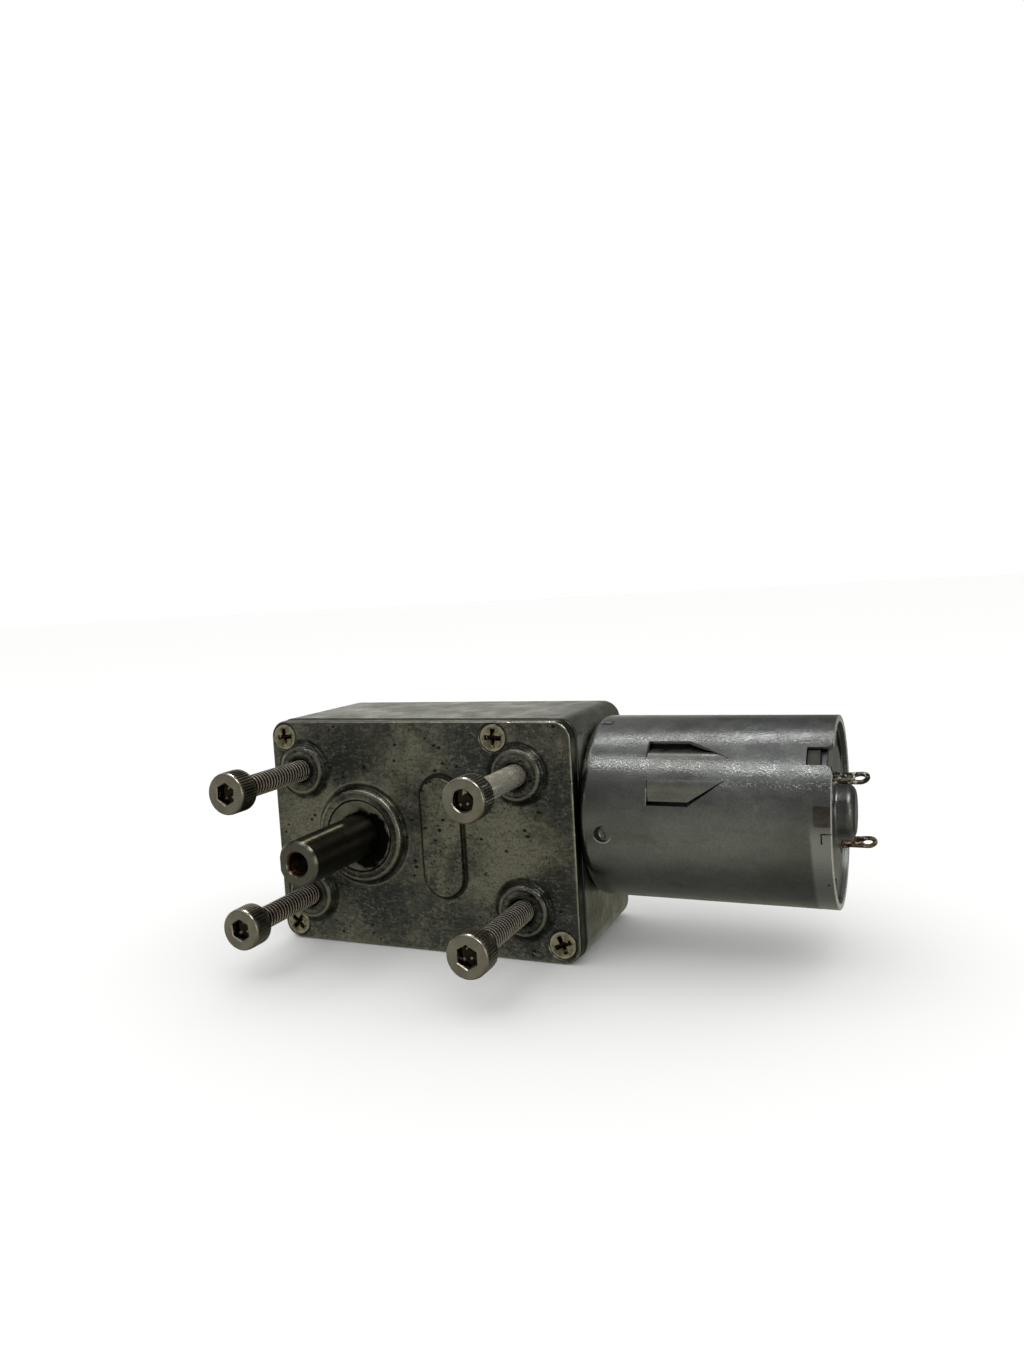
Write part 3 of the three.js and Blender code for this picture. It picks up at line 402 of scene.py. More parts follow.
def cast_zinc(
    name, dark, mid, light, rough, edge, guides=(), rings=(), polished_lit_rings=(), pads=(), spread=0.11, pitted=1.0
):
    """Die-cast zinc: cloudy, pitted and scuffed. edge is the band (from, to) along Y painted dark as
    shade at the seam and over the rounded edge; a lighter band just in front of it is partly wear and
    partly painted highlight. Guides are (x, z, radius, weight) clouds, rings are (x, z, inner, outer)
    bands that are dirty and painted dark as shade, polished_lit_rings are such bands, polished and painted
    lighter as highlights, pads are (x, z, straight, r) ovals, dirty and painted dark as shade at their foot."""
    f = Finish(name)
    cloud = f.total(
        f.times(f.noise(130, 4, 0.6, distortion=0.8), 0.4),
        f.times(f.noise(520, 6, 0.75, vector=f.mapped((0.6, 1, 1)), distortion=0.5), 0.3),
        f.times(f.noise(1700, 6, 0.85), 0.3),
        *[f.times(f.below(f.reach(x, z), 0, r), w) for x, z, r, w in guides],
    )
    f.colour = f.mix(f.ranged(cloud, 0.5 - spread, 0.5 + 0.25 * spread), dark, mid)
    f.coat(f.ranged(cloud, 0.5 - 0.25 * spread, 0.5 + spread), light)
    f.coat(f.ranged(f.noise(2900, 3, 0.75), 0.42, 0.68, 0.0, 0.6), dark)
    scuff = f.times(
        f.ranged(f.noise(2300, 4, 0.8, vector=f.mapped((0.55, 1, 1))), 0.52, 0.58),
        f.ranged(f.noise(330, 4, 0.7, distortion=1.0), 0.46, 0.58, 0.0, 0.7),
    )
    f.coat(scuff, light)
    stained = f.noise(290, 4, 0.7, vector=f.mapped(offset=(0.02, 0.01, 0.05)), distortion=1.0)
    stain = f.times(f.ranged(f.noise(1900, 5, 0.8), 0.53, 0.6), f.ranged(stained, 0.48, 0.6, 0.0, 0.6))
    f.coat(stain, scaled(dark, 0.5))
    drawn = f.noise(2500, 3, 0.8, vector=f.mapped((0.4, 1, 1), (0.01, 0.04, 0.02)))
    f.coat(f.ranged(drawn, 0.53, 0.66, 0.0, 0.4), light)
    f.coat(f.ranged(drawn, 0.36, 0.47, 0.42, 0.0), scaled(dark, 0.4))
    speck = f.times(f.below(f.cells(1900), 0.16, 0.3), f.ranged(f.noise(260, 3, 0.6), 0.46, 0.58))
    pit = f.below(f.cells(900, vector=f.mapped((0.7, 1, 1))), 0.14, 0.24)
    marks = f.highest(f.times(pit, f.ranged(f.noise(210, 2), 0.5, 0.57)), f.times(speck, 0.7))
    f.coat(marks, (0.014, 0.013, 0.01), 0.92 * pitted)
    lines = f.noise(700, 2, 0.5, vector=f.mapped((0.3, 1, 1.2), (0.03, 0.0, 0.02)), distortion=0.4)
    scratches = f.times(f.window(lines, 0.494, 0.504, 0.005), f.ranged(f.noise(140, 2), 0.5, 0.66, 0.0, 0.6))
    f.coat(scratches, (0.6, 0.58, 0.5))
    roughness = f.varied(rough - 0.08, rough + 0.12, 260, 4)
    uneven = f.ranged(f.noise(380, 3, 0.6), 0.35, 0.6, 0.5, 1.0)
    depth = f.in_mm(1)
    # Dark bands: painted shade along the edge band, and dirty bands also painted dark as shade round the rings
    # and at the pads' foot.
    dirt_and_shade = [f.window(depth, *edge, 0.06)]
    for x, z, inner, outer in rings:
        dirt_and_shade.append(f.times(f.window(f.reach(x, z), inner, outer, 0.16), uneven))
    for x, z, straight, r in pads:
        across = f.total(f.in_mm(0), -x)
        along = f.highest(f.total(f.maths("ABSOLUTE", f.total(f.in_mm(2), -z)), -straight), 0.0)
        dirt_and_shade.append(f.window(f.hypotenuse(across, along), r - 0.02, r + 0.52, 0.1))
    # A lighter band just in front of the edge band, partly wear and partly a painted highlight on the edge.
    rubbed_and_lit = f.times(f.window(depth, edge[0] - 0.13, edge[0], 0.03), uneven)
    f.coat(rubbed_and_lit, scaled(light, 1.4), 0.8)
    f.coat(f.highest(*dirt_and_shade), (0.018, 0.018, 0.014), 0.85)
    if polished_lit_rings:
        # Lighter polished rings on the boss rims, partly wear and partly painted highlight; the lower roughness
        # is real.
        polish_and_highlight = f.highest(*[f.window(f.reach(x, z), inner, outer, 0.12) for x, z, inner, outer in polished_lit_rings])
        f.coat(polish_and_highlight, scaled(light, 1.2), 0.55)
        roughness = f.maths("SUBTRACT", roughness, f.times(polish_and_highlight, 0.13))
    normal = f.bump(f.noise(170, 3, 0.5), 0.00028, 0.6)
    normal = f.bump(f.noise(1300, 3, 0.6), 0.000035, 0.6, normal)
    normal = f.bump(marks, -0.00006, 0.8 * pitted, normal)
    return f.done(roughness, 1.0, normal)


def plated_steel(name, base, deep, rough=0.24, can=False):
    """Zinc-plated deep-drawn steel with a fine spangle, its sparkle painted on as white specks of
    painted highlight. Coordinates start on the motor's axis.
    """
    f = Finish(name)
    cloud = f.noise(90, 4, 0.6, vector=f.mapped((0.6, 1, 1)))
    f.colour = f.mix(f.ranged(cloud, 0.34, 0.66), base, deep)
    f.coat(f.ranged(f.noise(900, 4, 0.7), 0.42, 0.7, 0.0, 0.35), deep)
    f.coat(f.ranged(f.noise(4200, 2, 0.7), 0.42, 0.7, 0.0, 0.3), scaled(deep, 0.5))
    # White specks of painted highlight, for the plating's sparkle.
    painted_glints = f.ranged(f.noise(3600, 2, 0.8, vector=f.mapped(offset=(0.03, 0.02, 0.01))), 0.55, 0.64)
    share, metallic = 0.1, 1.0
    if can:
        _, y, z = f.axes()
        along = f.in_mm(0)
        turn = f.maths("DEGREES", f.maths("ARCTAN2", z, f.times(y, -1.0)))
        # On the can they gather in bands at fixed turns round the axis: painted highlight bands.
        bands = f.total(
            f.window(turn, 54, 58.5, 2.2),
            f.window(turn, 34, 39, 2.6),
            f.times(f.window(turn, 24, 28, 2.0), f.ranged(along, 60, 66, 0.0, 0.8)),
        )
        share = f.total(0.04, f.times(bands, 0.78))
    f.coat(f.times(painted_glints, share), (0.98, 0.98, 0.95))
    streaks = f.noise(420, 4, 0.7, vector=f.mapped((0.2, 1, 1)))
    f.coat(f.ranged(streaks, 0.56, 0.72, 0.0, 0.35), scaled(deep, 0.5))
    if can:
        wavy = f.total(along, f.noise(120, 3))
        band = f.times(f.window(wavy, 75.3, 90, 0.25), f.ranged(turn, 9, -6, 0.0, 1.0))
        f.coat(band, scaled(base, 1.45))
        # Painted shade in the dent at 75 degrees.
        dent_shade = f.times(f.window(along, 47.2, 48.7, 0.2), f.window(turn, 71, 76.5, 1.2))
        f.coat(dent_shade, (0.05, 0.05, 0.045), 0.8)
        patch = f.times(f.window(along, 75.05, 77.3, 0.1), f.window(turn, 4, 15.5, 0.6))
        patch = f.times(patch, f.ranged(f.noise(900, 3), 0.3, 0.7, 0.5, 0.9))
        f.coat(patch, (0.13, 0.07, 0.05))
        # Round the stake mark: a dark crescent of painted shade and a bright rim of painted highlight.
        u, v = f.total(along, -STAKE_X), f.times(f.total(turn, -STAKE_TURN), math.radians(CAN_R))
        around = f.hypotenuse(u, v)
        u, v = f.total(u, -0.5), f.total(v, -0.12)
        inner = f.hypotenuse(u, v)
        stake_shade = f.times(f.below(around, 1.0, 1.12), f.ranged(inner, 0.86, 1.0))
        f.coat(stake_shade, (0.03, 0.03, 0.028), 0.9)
        rim = f.times(f.window(around, 1.12, 1.26, 0.06), f.ranged(v, -0.3, -0.9))
        f.coat(rim, (0.95, 0.95, 0.9))
        # The can's inner wall is painted near-black as shade.
        inside = f.below(f.hypotenuse(y, z), (CAN_R - 0.42) * MM, (CAN_R - 0.3) * MM)
        inside = f.times(inside, f.window(along, CAN_FRONT + 1.3, END_PLATE_REAR, 0.15))
        f.coat(inside, (0.03, 0.03, 0.026))
        # The rear cut edge: bare steel, painted lighter also as a highlight.
        bare_edge_and_sheen = f.ranged(along, CAN_REAR - 0.16, CAN_REAR - 0.06)
        f.coat(bare_edge_and_sheen, (0.82, 0.82, 0.78))
        metallic = f.ranged(bare_edge_and_sheen, 0.0, 1.0, 1.0, 0.8)
    roughness = f.varied(rough - 0.06, rough + 0.08, 420, 4, 0.65)
    normal = f.bump(f.cells(4300), 0.000012, 1.0)
    normal = f.bump(f.times(painted_glints, share), 0.00002, 0.8, normal)
    normal = f.bump(f.noise(140, 2, 0.5), 0.0003, 0.25, normal)
    return f.done(roughness, metallic, normal)


def turned_metal(name, base, deep, rough, grain, grain_depth, wear):
    """Machined or rolled metal with a little tarnish."""
    f = Finish(name)
    f.clouds(base, deep, 450)
    f.coat(f.ranged(f.noise(1400, 4, 0.7), 0.56, 0.74, 0.0, wear), scaled(deep, 0.3))
    normal = f.bump(f.noise(grain * 2, 3, 0.6), grain_depth, 0.6)
    return f.done(f.varied(rough - 0.05, rough + 0.09, 900), 1.0, normal)


def cap_screw_metal(name):
    """Plated screw steel, with shade and highlights painted into the socket, thread and knurl.
    Coordinates start at the middle of the head's face, along +Y.
    """
    f = Finish(name)
    f.clouds((0.6, 0.56, 0.48), (0.42, 0.39, 0.32), 420)
    f.coat(f.ranged(f.noise(1500, 4, 0.7), 0.56, 0.74, 0.0, 0.2), (0.2, 0.17, 0.13))
    reach, depth = f.reach(), f.in_mm(1)
    # The hex socket is painted near-black as shade, with light specks of painted highlight.
    socket = f.times(f.below(reach, 1.42, 1.5), f.window(depth, 0.16, 2.6, 0.08))
    painted_glint = f.ranged(f.noise(1150, 1, 0.5), 0.56, 0.6)
    f.coat(socket, f.mix(painted_glint, (0.03, 0.018, 0.012), (0.95, 0.86, 0.74)), 0.95)
    # The thread roots are painted near-black as shade.
    root = f.times(f.below(reach, 1.36, 1.47), f.ranged(depth, 2.9, 3.1))
    f.coat(root, (0.04, 0.017, 0.012), 0.97)
    # The thread crests are painted bright as highlights.
    crest = f.times(f.ranged(reach, 1.465, 1.485), f.window(depth, 3.1, 30, 0.05))
    f.coat(crest, (0.86, 0.81, 0.7), 0.88)
    # The knurl's grooves are painted dark as shade.
    knurl_shade = f.times(f.window(depth, 0.4, 2.9, 0.05), f.below(reach, 2.66, 2.74))
    knurl_shade = f.times(knurl_shade, f.ranged(reach, 2.4, 2.5))
    # The head's side is painted darker as shade.
    side = f.times(f.window(depth, 0.4, 3.1, 0.05), f.ranged(reach, 2.5, 2.6))
    f.coat(side, (0.13, 0.122, 0.095), 0.72)
    f.coat(knurl_shade, (0.025, 0.023, 0.018), 0.92)
    metallic = f.ranged(crest, 0.0, 1.0, 1.0, 0.86)
    return f.done(f.varied(0.2, 0.34, 900), metallic, f.bump(f.noise(1600, 3, 0.6), 0.000005, 0.4))


def cross_screw_metal(name):
    """Yellowish plating, with a bright ring painted as a highlight near the edge, and the cross
    recess painted dark as shade with light specks of painted highlight.
    """
    f = Finish(name)
    f.clouds((0.7, 0.65, 0.47), (0.42, 0.37, 0.25), 700)
    f.coat(f.ranged(f.noise(1600, 4, 0.7), 0.54, 0.72, 0.0, 0.6), (0.12, 0.09, 0.05))
    reach, depth = f.reach(), f.in_mm(1)
    # A painted highlight ring near the head's edge.
    f.coat(f.window(reach, 1.5, 1.76, 0.08), (0.86, 0.82, 0.66))
    f.coat(f.ranged(f.noise(800, 3, 0.6), 0.45, 0.6, 0.0, 0.5), (0.2, 0.17, 0.1))
    painted_glint = f.ranged(f.noise(1500, 1, 0.5), 0.6, 0.64)
    # The cross recess is painted dark as shade, with light specks of painted highlight.
    f.coat(f.ranged(depth, 0.05, 0.16, 0.0, 0.96), f.mix(painted_glint, (0.03, 0.01, 0.008), (0.8, 0.72, 0.5)))
    return f.done(f.varied(0.24, 0.4, 900), 1.0, f.bump(f.noise(1500, 3, 0.6), 0.00002, 0.5))


def shaft_metal(name):
    """Dark polished steel with a brown bore. Coordinates start at the shaft's end, on its axis."""
    f = Finish(name)
    f.clouds((0.06, 0.055, 0.04), (0.036, 0.034, 0.025), 300)
    reach, depth = f.reach(), f.in_mm(1)
    face = f.times(f.below(depth, 0.25, 0.45), f.ranged(reach, 1.5, 1.6))
    f.coat(face, (0.29, 0.28, 0.23))
    f.coat(f.ranged(f.noise(1100, 4, 0.7), 0.54, 0.7, 0.0, 0.5), (0.03, 0.028, 0.02))
    rust = f.mix(f.ranged(f.noise(900, 3), 0.4, 0.62), (0.3, 0.17, 0.07), (0.06, 0.034, 0.018))
    f.coat(f.below(reach, 1.56, 1.64), rust)
    normal = f.bump(f.noise(1400, 3, 0.6, vector=f.mapped((1, 0.3, 1))), 0.000006, 0.5)
    turning = f.node("Tangent", dict(direction_type="RADIAL", axis="Y")).outputs[0]
    return f.done(
        f.varied(0.27, 0.34, 700), 1.0, normal, Tangent=turning, Anisotropic=0.92, Anisotropic_Rotation=0.25
    )


def greased_and_shaded_bush(name):
    """Sintered bush, black round the shaft where it is greasy and painted dark as shade, off centre
    to the right and down.
    """
    f = Finish(name)
    reach = f.reach(OUTPUT_AXIS.x + 0.9, OUTPUT_AXIS.z - 0.3)
    grease_and_shade = f.below(f.total(reach, f.times(f.noise(700, 4, 0.6), 2.2)), 4.9, 5.4)
    f.clouds((0.3, 0.29, 0.22), (0.17, 0.165, 0.12), 600, 5, 0.7)
    f.coat(grease_and_shade, (0.004, 0.004, 0.003))
    return f.done(f.ranged(grease_and_shade, 0.0, 1.0, 0.42, 0.6), 0.9, f.bump(f.noise(1300, 3, 0.6), 0.00003, 0.5))


def dull(name, base, deep, rough, metallic=0.0):
    """Plastic, ferrite or carbon with a moulded grain."""
    f = Finish(name)
    f.clouds(base, deep, 700)
    roughness = f.varied(rough - 0.08, rough + 0.1, 1400, rough=0.55)
    return f.done(roughness, metallic, f.bump(f.noise(2100, 3, 0.6), 0.00002, 0.5))


def rusty(name, base, rust, share):
    """Tinned brass lug gone brown, with rust towards its foot, and light specks of painted highlight."""
    f = Finish(name)
    patch = f.ranged(f.noise(1500, 5, 0.7), 0.62 - share, 0.82 - share)
    foot = f.ranged(f.in_mm(0), 80.4, 78.6, 0.15, 1.0)
    f.colour = f.mix(f.times(patch, foot), base, rust)
    grime = f.noise(2600, 3, vector=f.mapped((0.5, 1, 1)))
    f.coat(f.ranged(grime, 0.42, 0.56, 0.0, 0.9), (0.012, 0.009, 0.007))
    # Light specks of painted highlight.
    f.coat(f.ranged(f.noise(1900, 2, 0.7), 0.58, 0.64, 0.0, 0.9), (0.95, 0.92, 0.85))
    return f.done(f.ranged(patch, 0.0, 1.0, 0.3, 0.65), 0.85, f.bump(f.noise(2400, 4, 0.7), 0.00006, 0.7))


ZINC = cast_zinc(
    "cast zinc", (0.31, 0.315, 0.285), (0.44, 0.445, 0.39), (0.58, 0.57, 0.5), 0.34,
    # The housing's edge band is painted shade at the seam with the cover.
    edge=(1.9, 2.45), spread=0.2, pitted=0.4,
)
CAN = plated_steel("plated steel can", (0.47, 0.485, 0.465), (0.3, 0.31, 0.29), 0.22, can=True)
LANCE = plated_steel("plated steel lance", (0.56, 0.56, 0.52), (0.38, 0.38, 0.34), 0.3)
PLATE = plated_steel("plated steel plate", (0.35, 0.37, 0.36), (0.235, 0.245, 0.235), 0.32)
STEEL = turned_metal("ground steel", (0.2, 0.19, 0.16), (0.13, 0.125, 0.1), 0.17, 2400, 0.000004, 0.2)
SHAFT_METAL = shaft_metal("shaft steel")
NICKEL = turned_metal("screw nickel", (0.62, 0.58, 0.51), (0.46, 0.42, 0.36), 0.24, 1400, 0.00001, 0.3)
CAP_METAL = cap_screw_metal("cap screw nickel")
CROSS_METAL = cross_screw_metal("cover screw nickel")
BRONZE = turned_metal("sintered bronze", (0.5, 0.36, 0.2), (0.34, 0.24, 0.13), 0.45, 900, 0.00003, 0.6)
BRASS = turned_metal("gear brass", (0.72, 0.55, 0.27), (0.52, 0.38, 0.17), 0.3, 1200, 0.00001, 0.3)
COPPER = turned_metal("copper", (0.7, 0.33, 0.17), (0.45, 0.19, 0.09), 0.32, 1600, 0.00002, 0.4)
LAMINATE = turned_metal("silicon steel", (0.3, 0.31, 0.33), (0.2, 0.21, 0.22), 0.45, 1500, 0.00002, 0.5)
GREASED_AND_SHADED = greased_and_shaded_bush("greased and shaded bush")
PLASTIC = dull("black plastic", (0.03, 0.032, 0.026), (0.05, 0.052, 0.04), 0.5)
FERRITE = dull("ferrite", (0.045, 0.045, 0.05), (0.025, 0.025, 0.028), 0.75)
NYLON = dull("nylon", (0.72, 0.67, 0.55), (0.6, 0.54, 0.42), 0.5)
CARBON = dull("carbon", (0.05, 0.048, 0.045), (0.03, 0.028, 0.026), 0.55, metallic=0.3)
LUG_DARK = rusty("terminal dark", (0.26, 0.23, 0.17), (0.06, 0.03, 0.018), 0.12)
LUG_RUSTY = rusty("terminal rusty", (0.3, 0.24, 0.16), (0.17, 0.06, 0.02), 0.2)


# ---- cover and housing
PAD_CENTRE, PAD_HALF_WIDTH, PAD_HALF_LENGTH = (27.0, 16.2), 2.9, 8.2
COVER_CLOUDS = [
    (4.5, 17.5, 7, 0.1), (37, 15.5, 8, 0.1), (22.5, 27, 6, 0.08), (28, 19, 6, 0.08), (24, 8, 5, 0.03),
    (11.5, 27.5, 6, -0.12), (33, 27, 7, -0.15), (41, 5, 9, -0.2), (15, 6, 8, -0.14), (43.5, 24, 7, -0.12),
    (26, 4, 8, -0.1),
]


def bands(centres, *radii):
    """(x, z, inner, outer) rings round each centre."""
    return [(x, z, *ring) for x, z in centres for ring in radii]


ZINC_COVER = cast_zinc(
    "cast zinc cover", (0.09, 0.098, 0.1), (0.22, 0.222, 0.19), (0.5, 0.48, 0.385), 0.33,
    guides=COVER_CLOUDS,
    # Dark rings, dirty and painted as shade: round the screw holes, boss walls and fillets, the bush seam and
    # the cover screws.
    rings=bands(MOUNTS.values(), (1.5, 2.2), (2.74, 2.9), (3.42, 4.3))
    + bands([SHAFT_XZ], (6.56, 7.15), (4.98, 5.14), (5.76, 5.88))
    + bands(COVER_SCREWS.values(), (1.85, 2.1)),
    # Lighter rings on the boss rims, polished and painted as highlights.
    polished_lit_rings=bands(MOUNTS.values(), (3.02, 3.3)) + bands([SHAFT_XZ], (6.05, 6.42), (5.24, 5.36), (7.3, 7.45)),
    # The pad's foot is dirty and painted dark as shade.
    pads=[(*PAD_CENTRE, PAD_HALF_LENGTH - PAD_HALF_WIDTH, PAD_HALF_WIDTH)],
    # The edge band is painted shade over the cover's rounded edge and side.
    edge=(COVER_EDGE * 0.45, COVER_THICKNESS + 0.2),
)


def box_outline(inset):
    r = max(BOX_CORNER - inset, 0.2)
    return rounded_outline(inset, BOX_LENGTH - inset, inset, BOX_HEIGHT - inset, r)


def mount_boss(x, z):
    profile = [(0, 1.0), (4.6, 1.0), (4.6, 0.02)] + rounding(4.5, 0.0, 3.78, -0.36, 6, bulge=False)
    profile += [(3.62, -0.46), (3.54, -0.56)] + rounding(3.52, -0.6, 2.72, -1.1, 8) + [(0, -1.1)]
    return turned(profile, on_y_axis(x, z), 72)


def mount_hole(x, z):
    profile = [(0, -2), (1.84, -2), (1.84, -1.06), (1.58, -0.8), (1.58, 3), (0, 3)]
    return turned(profile, on_y_axis(x, z), 56)


def shaft_boss():
    profile = [(0, 1.0), (7.15, 1.0), (7.15, 0.02)] + rounding(7.0, 0.0, 6.6, -0.45, 6, bulge=False)
    profile += [(6.54, -0.66)] + rounding(6.52, -0.7, 5.8, -1.2, 8) + [(0, -1.2)]
    return turned(profile, on_shaft, 120)


def bush_seat():
    profile = [(0, -2), (5.12, -2), (5.12, -1.12), (4.98, -0.95), (4.98, 3), (0, 3)]
    return turned(profile, on_shaft, 120)


def screw_seat(x, z):
    profile = [(0, -1), (2.03, -1), (2.03, 0.03), (1.18, 0.92), (1.18, 3), (0, 3)]
    return turned(profile, on_y_axis(x, z), 56)


def pad():
    """The raised oval on the cover."""
    x, z = PAD_CENTRE

    def outline(inset):
        half, length = PAD_HALF_WIDTH - inset, PAD_HALF_LENGTH - inset
        return rounded_outline(x - half, x + half, z - length, z + length, half - 0.001, 18)

    rings = [(-0.32, 1.0), (-0.32, 0.02)] + rounding(-0.28, 0.0, -0.02, -0.26, 4, bulge=False)
    rings += [(0.03, -0.55)] + rounding(0.04, -0.58, 0.28, -0.8, 5)
    return prism(outline, rings)


def front_cover():
    rings = rounding(COVER_INSET, COVER_EDGE, COVER_INSET + COVER_EDGE, 0.0, 6)[::-1]
    rings += [(COVER_INSET, COVER_THICKNESS - SEAM), (COVER_INSET + SEAM, COVER_THICKNESS)]
    bosses = [mount_boss(*centre) for centre in MOUNTS.values()]
    holes = [mount_hole(*centre) for centre in MOUNTS.values()]
    holes += [screw_seat(*centre) for centre in COVER_SCREWS.values()]
    body = joined(prism(box_outline, rings), pad(), shaft_boss(), *bosses)
    return cut(body, bush_seat(), rod(on_axle, 1.06, 0.5, 3, 32), *holes)


def motor_screw_bores(start, end):
    """Cutters for the two screws that hold the motor."""
    heights = [centre_xz("motor_screw_" + name)[1] for name in ("upper", "lower")]
    return [rod(on_x_axis(MOTOR_AXIS.y, z), 1.3, start, end, 32) for z in heights]


def gearbox_housing():
    front, back = COVER_THICKNESS, BOX_DEPTH
    mount_post, screw_post, in_wall = 5.5, 7.9, 1
    rings = [(SEAM, front), (0.0, front + SEAM), (0.0, back - BACK_EDGE)]
    rings += rounding(0.0, back - BACK_EDGE, BACK_EDGE, back, 8)
    cavity = prism(
        lambda inset: rounded_outline(2 + inset, 43.5 - inset, 2 + inset, 30 - inset, 1.2, 6),
        [(0, 1), (0, 19.5), (0.15, 19.85), (0.5, 20)],
    )
    shell = cut(prism(box_outline, rings), cavity)

    def to_wall(z):
        """From a height into the floor or the roof, whichever is nearer."""
        return (z, BOX_HEIGHT - in_wall) if z > BOX_HEIGHT / 2 else (in_wall, z)

    posts, holes = [], []
    for x, z in MOUNTS.values():
        posts.append(rod(on_y_axis(x, z), 3.3, front, mount_post, 48))
        posts.append(block(x - 2, x + 2, front, mount_post, *to_wall(z)))
        holes.append(rod(on_y_axis(x, z), 1.55, 1, 4.9, 40))
    for x, z in COVER_SCREWS.values():
        near_left, near_right = x < BOX_LENGTH / 2, x > BOX_LENGTH - 6
        run = (in_wall, x) if near_left else (x, BOX_LENGTH - in_wall) if near_right else (x - 1.5, x + 1.5)
        posts.append(rod(on_y_axis(x, z), 2.2, front, screw_post, 40))
        posts.append(block(*run, front, screw_post, *to_wall(z)))
        holes.append(rod(on_y_axis(x, z), 1.05, 1, 7, 32))
    shaft_seat = [(0, 21), (5.2, 21), (5.2, 17.2), (5.0, 16.95), (0, 16.95)]
    axle_seat = [(0, 21), (2.6, 21), (2.6, 18.4), (2.45, 18.2), (0, 18.2)]
    posts += [turned(shaft_seat, on_shaft, 64), turned(axle_seat, on_axle, 40)]
    holes += [rod(on_shaft, 4.04, 16, 20, 64), rod(on_axle, 1.05, 17, 21.1, 32)]
    holes.append(rod(on_motor_axis, 3.62, 42, 47, 64))
    return cut(joined(shell, *posts), *holes, *motor_screw_bores(42, 47))


mirrored = [piece("front_cover_cast", front_cover(), "front_cover", ZINC_COVER)]
piece("gearbox_housing_cast", gearbox_housing(), "gearbox_housing", ZINC)


# ---- screws
HEAD_R, HEAD_HEIGHT, SOCKET_ACROSS, SOCKET_DEPTH, KNURLS = 2.75, 3.0, 2.5, 1.45, 44
CAP_CREST, CAP_ROOT, CAP_PITCH = 1.49, 1.2, 0.6


def threaded_rod(x, z, y0, y1, crest, root, pitch, segments=36):
    """A rod with a helical V thread, flat at both ends."""
    shape = [(0.0, root), (0.24, root), (0.54, crest), (0.7, crest)]
    place = on_y_axis(x, z)
    rows = (int((y1 - y0) / pitch) + 2) * len(shape) + len(shape)
    bm = bmesh.new()
    grid = []
    for i in range(rows + 1):
        share, r = shape[i % 4]
        row = []
        for s in range(segments):
            y = y0 + pitch * (i // 4 - 1 + share + s / segments)
            row.append(bm.verts.new(place(r, 2 * math.pi * s / segments, min(max(y, y0), y1))))
        grid.append(row)
    for i in range(rows):
        for s in range(segments - 1):
            bm.faces.new([grid[i][s], grid[i][s + 1], grid[i + 1][s + 1], grid[i + 1][s]])
    for i in range(rows - 4):
        bm.faces.new([grid[i][-1], grid[i + 4][0], grid[i + 5][0], grid[i + 1][-1]])
    start = grid[0] + [grid[i][0] for i in range(4, 0, -1)]
    end = grid[rows] + [grid[i][-1] for i in range(rows - 1, rows - 5, -1)]
    for loop, y in ((start, y0), (end, y1)):
        middle = bm.verts.new(place(0, 0, y))
        for i in range(len(loop)):
            bm.faces.new([loop[i], loop[(i + 1) % len(loop)], middle])
    bmesh.ops.recalc_face_normals(bm, faces=bm.faces)
    return mesh_from(bm)


def hex_socket(x, z, face, turn, corner):
    """A hexagonal cutter with a flared mouth and a conical bottom. corner rounds the hexagon."""
    place = on_y_axis(x, z)
    steps, round_r, r, bottom = 8, 0.93, SOCKET_ACROSS / math.sqrt(3), face + SOCKET_DEPTH

    def ring(radius, y):
        points = []
        for side in range(6):
            a, b = (math.radians(60 * (side + k) + turn) for k in (0, 1))
            for k in range(steps):
                flat = Vector((math.cos(a), math.sin(a))).lerp(Vector((math.cos(b), math.sin(b))), k / steps)
                length = flat.length + (round_r - flat.length) * corner
                points.append(place(radius * length, math.atan2(flat.y, flat.x), y))
        return points

    rings = [ring(r + 0.2, face - 0.1), ring(r + 0.1, face + 0.02), ring(r, face + 0.14)]
    rings += [ring(r, bottom), ring(r * 0.25, bottom + 0.45), [place(0, 0, bottom + 0.5)]]
    return mesh_of(rings)


def cap_head(x, z, face, seat, turn, corner, knurl):
    """Socket head with a rounded rim and a side knurled to a depth of knurl."""
    low, high, rows = face + 0.42, seat - 0.22, 6
    profile = [(0, face), (2.2, face)] + rounding(2.42, face, HEAD_R - 0.02, face + 0.36, 5, bulge=False)
    profile += [(HEAD_R, low + (high - low) * i / rows) for i in range(rows + 1)]
    profile += rounding(HEAD_R, seat - 0.2, HEAD_R - 0.2, seat, 3) + [(1.3, seat), (0, seat)]
    place = on_y_axis(x, z)

    def knurled(r, a, y):
        inside = min(max((y - low + 0.12) / 0.2, 0), 1) * min(max((high + 0.12 - y) / 0.2, 0), 1)
        wave = abs(((a * KNURLS / (2 * math.pi)) % 1) - 0.5) * 2
        return place(r - knurl * wave * inside * (r > 2.6), a, y)

    head = turned(profile, knurled, KNURLS * 4)
    return cut(head, hex_socket(x, z, face, turn, corner))


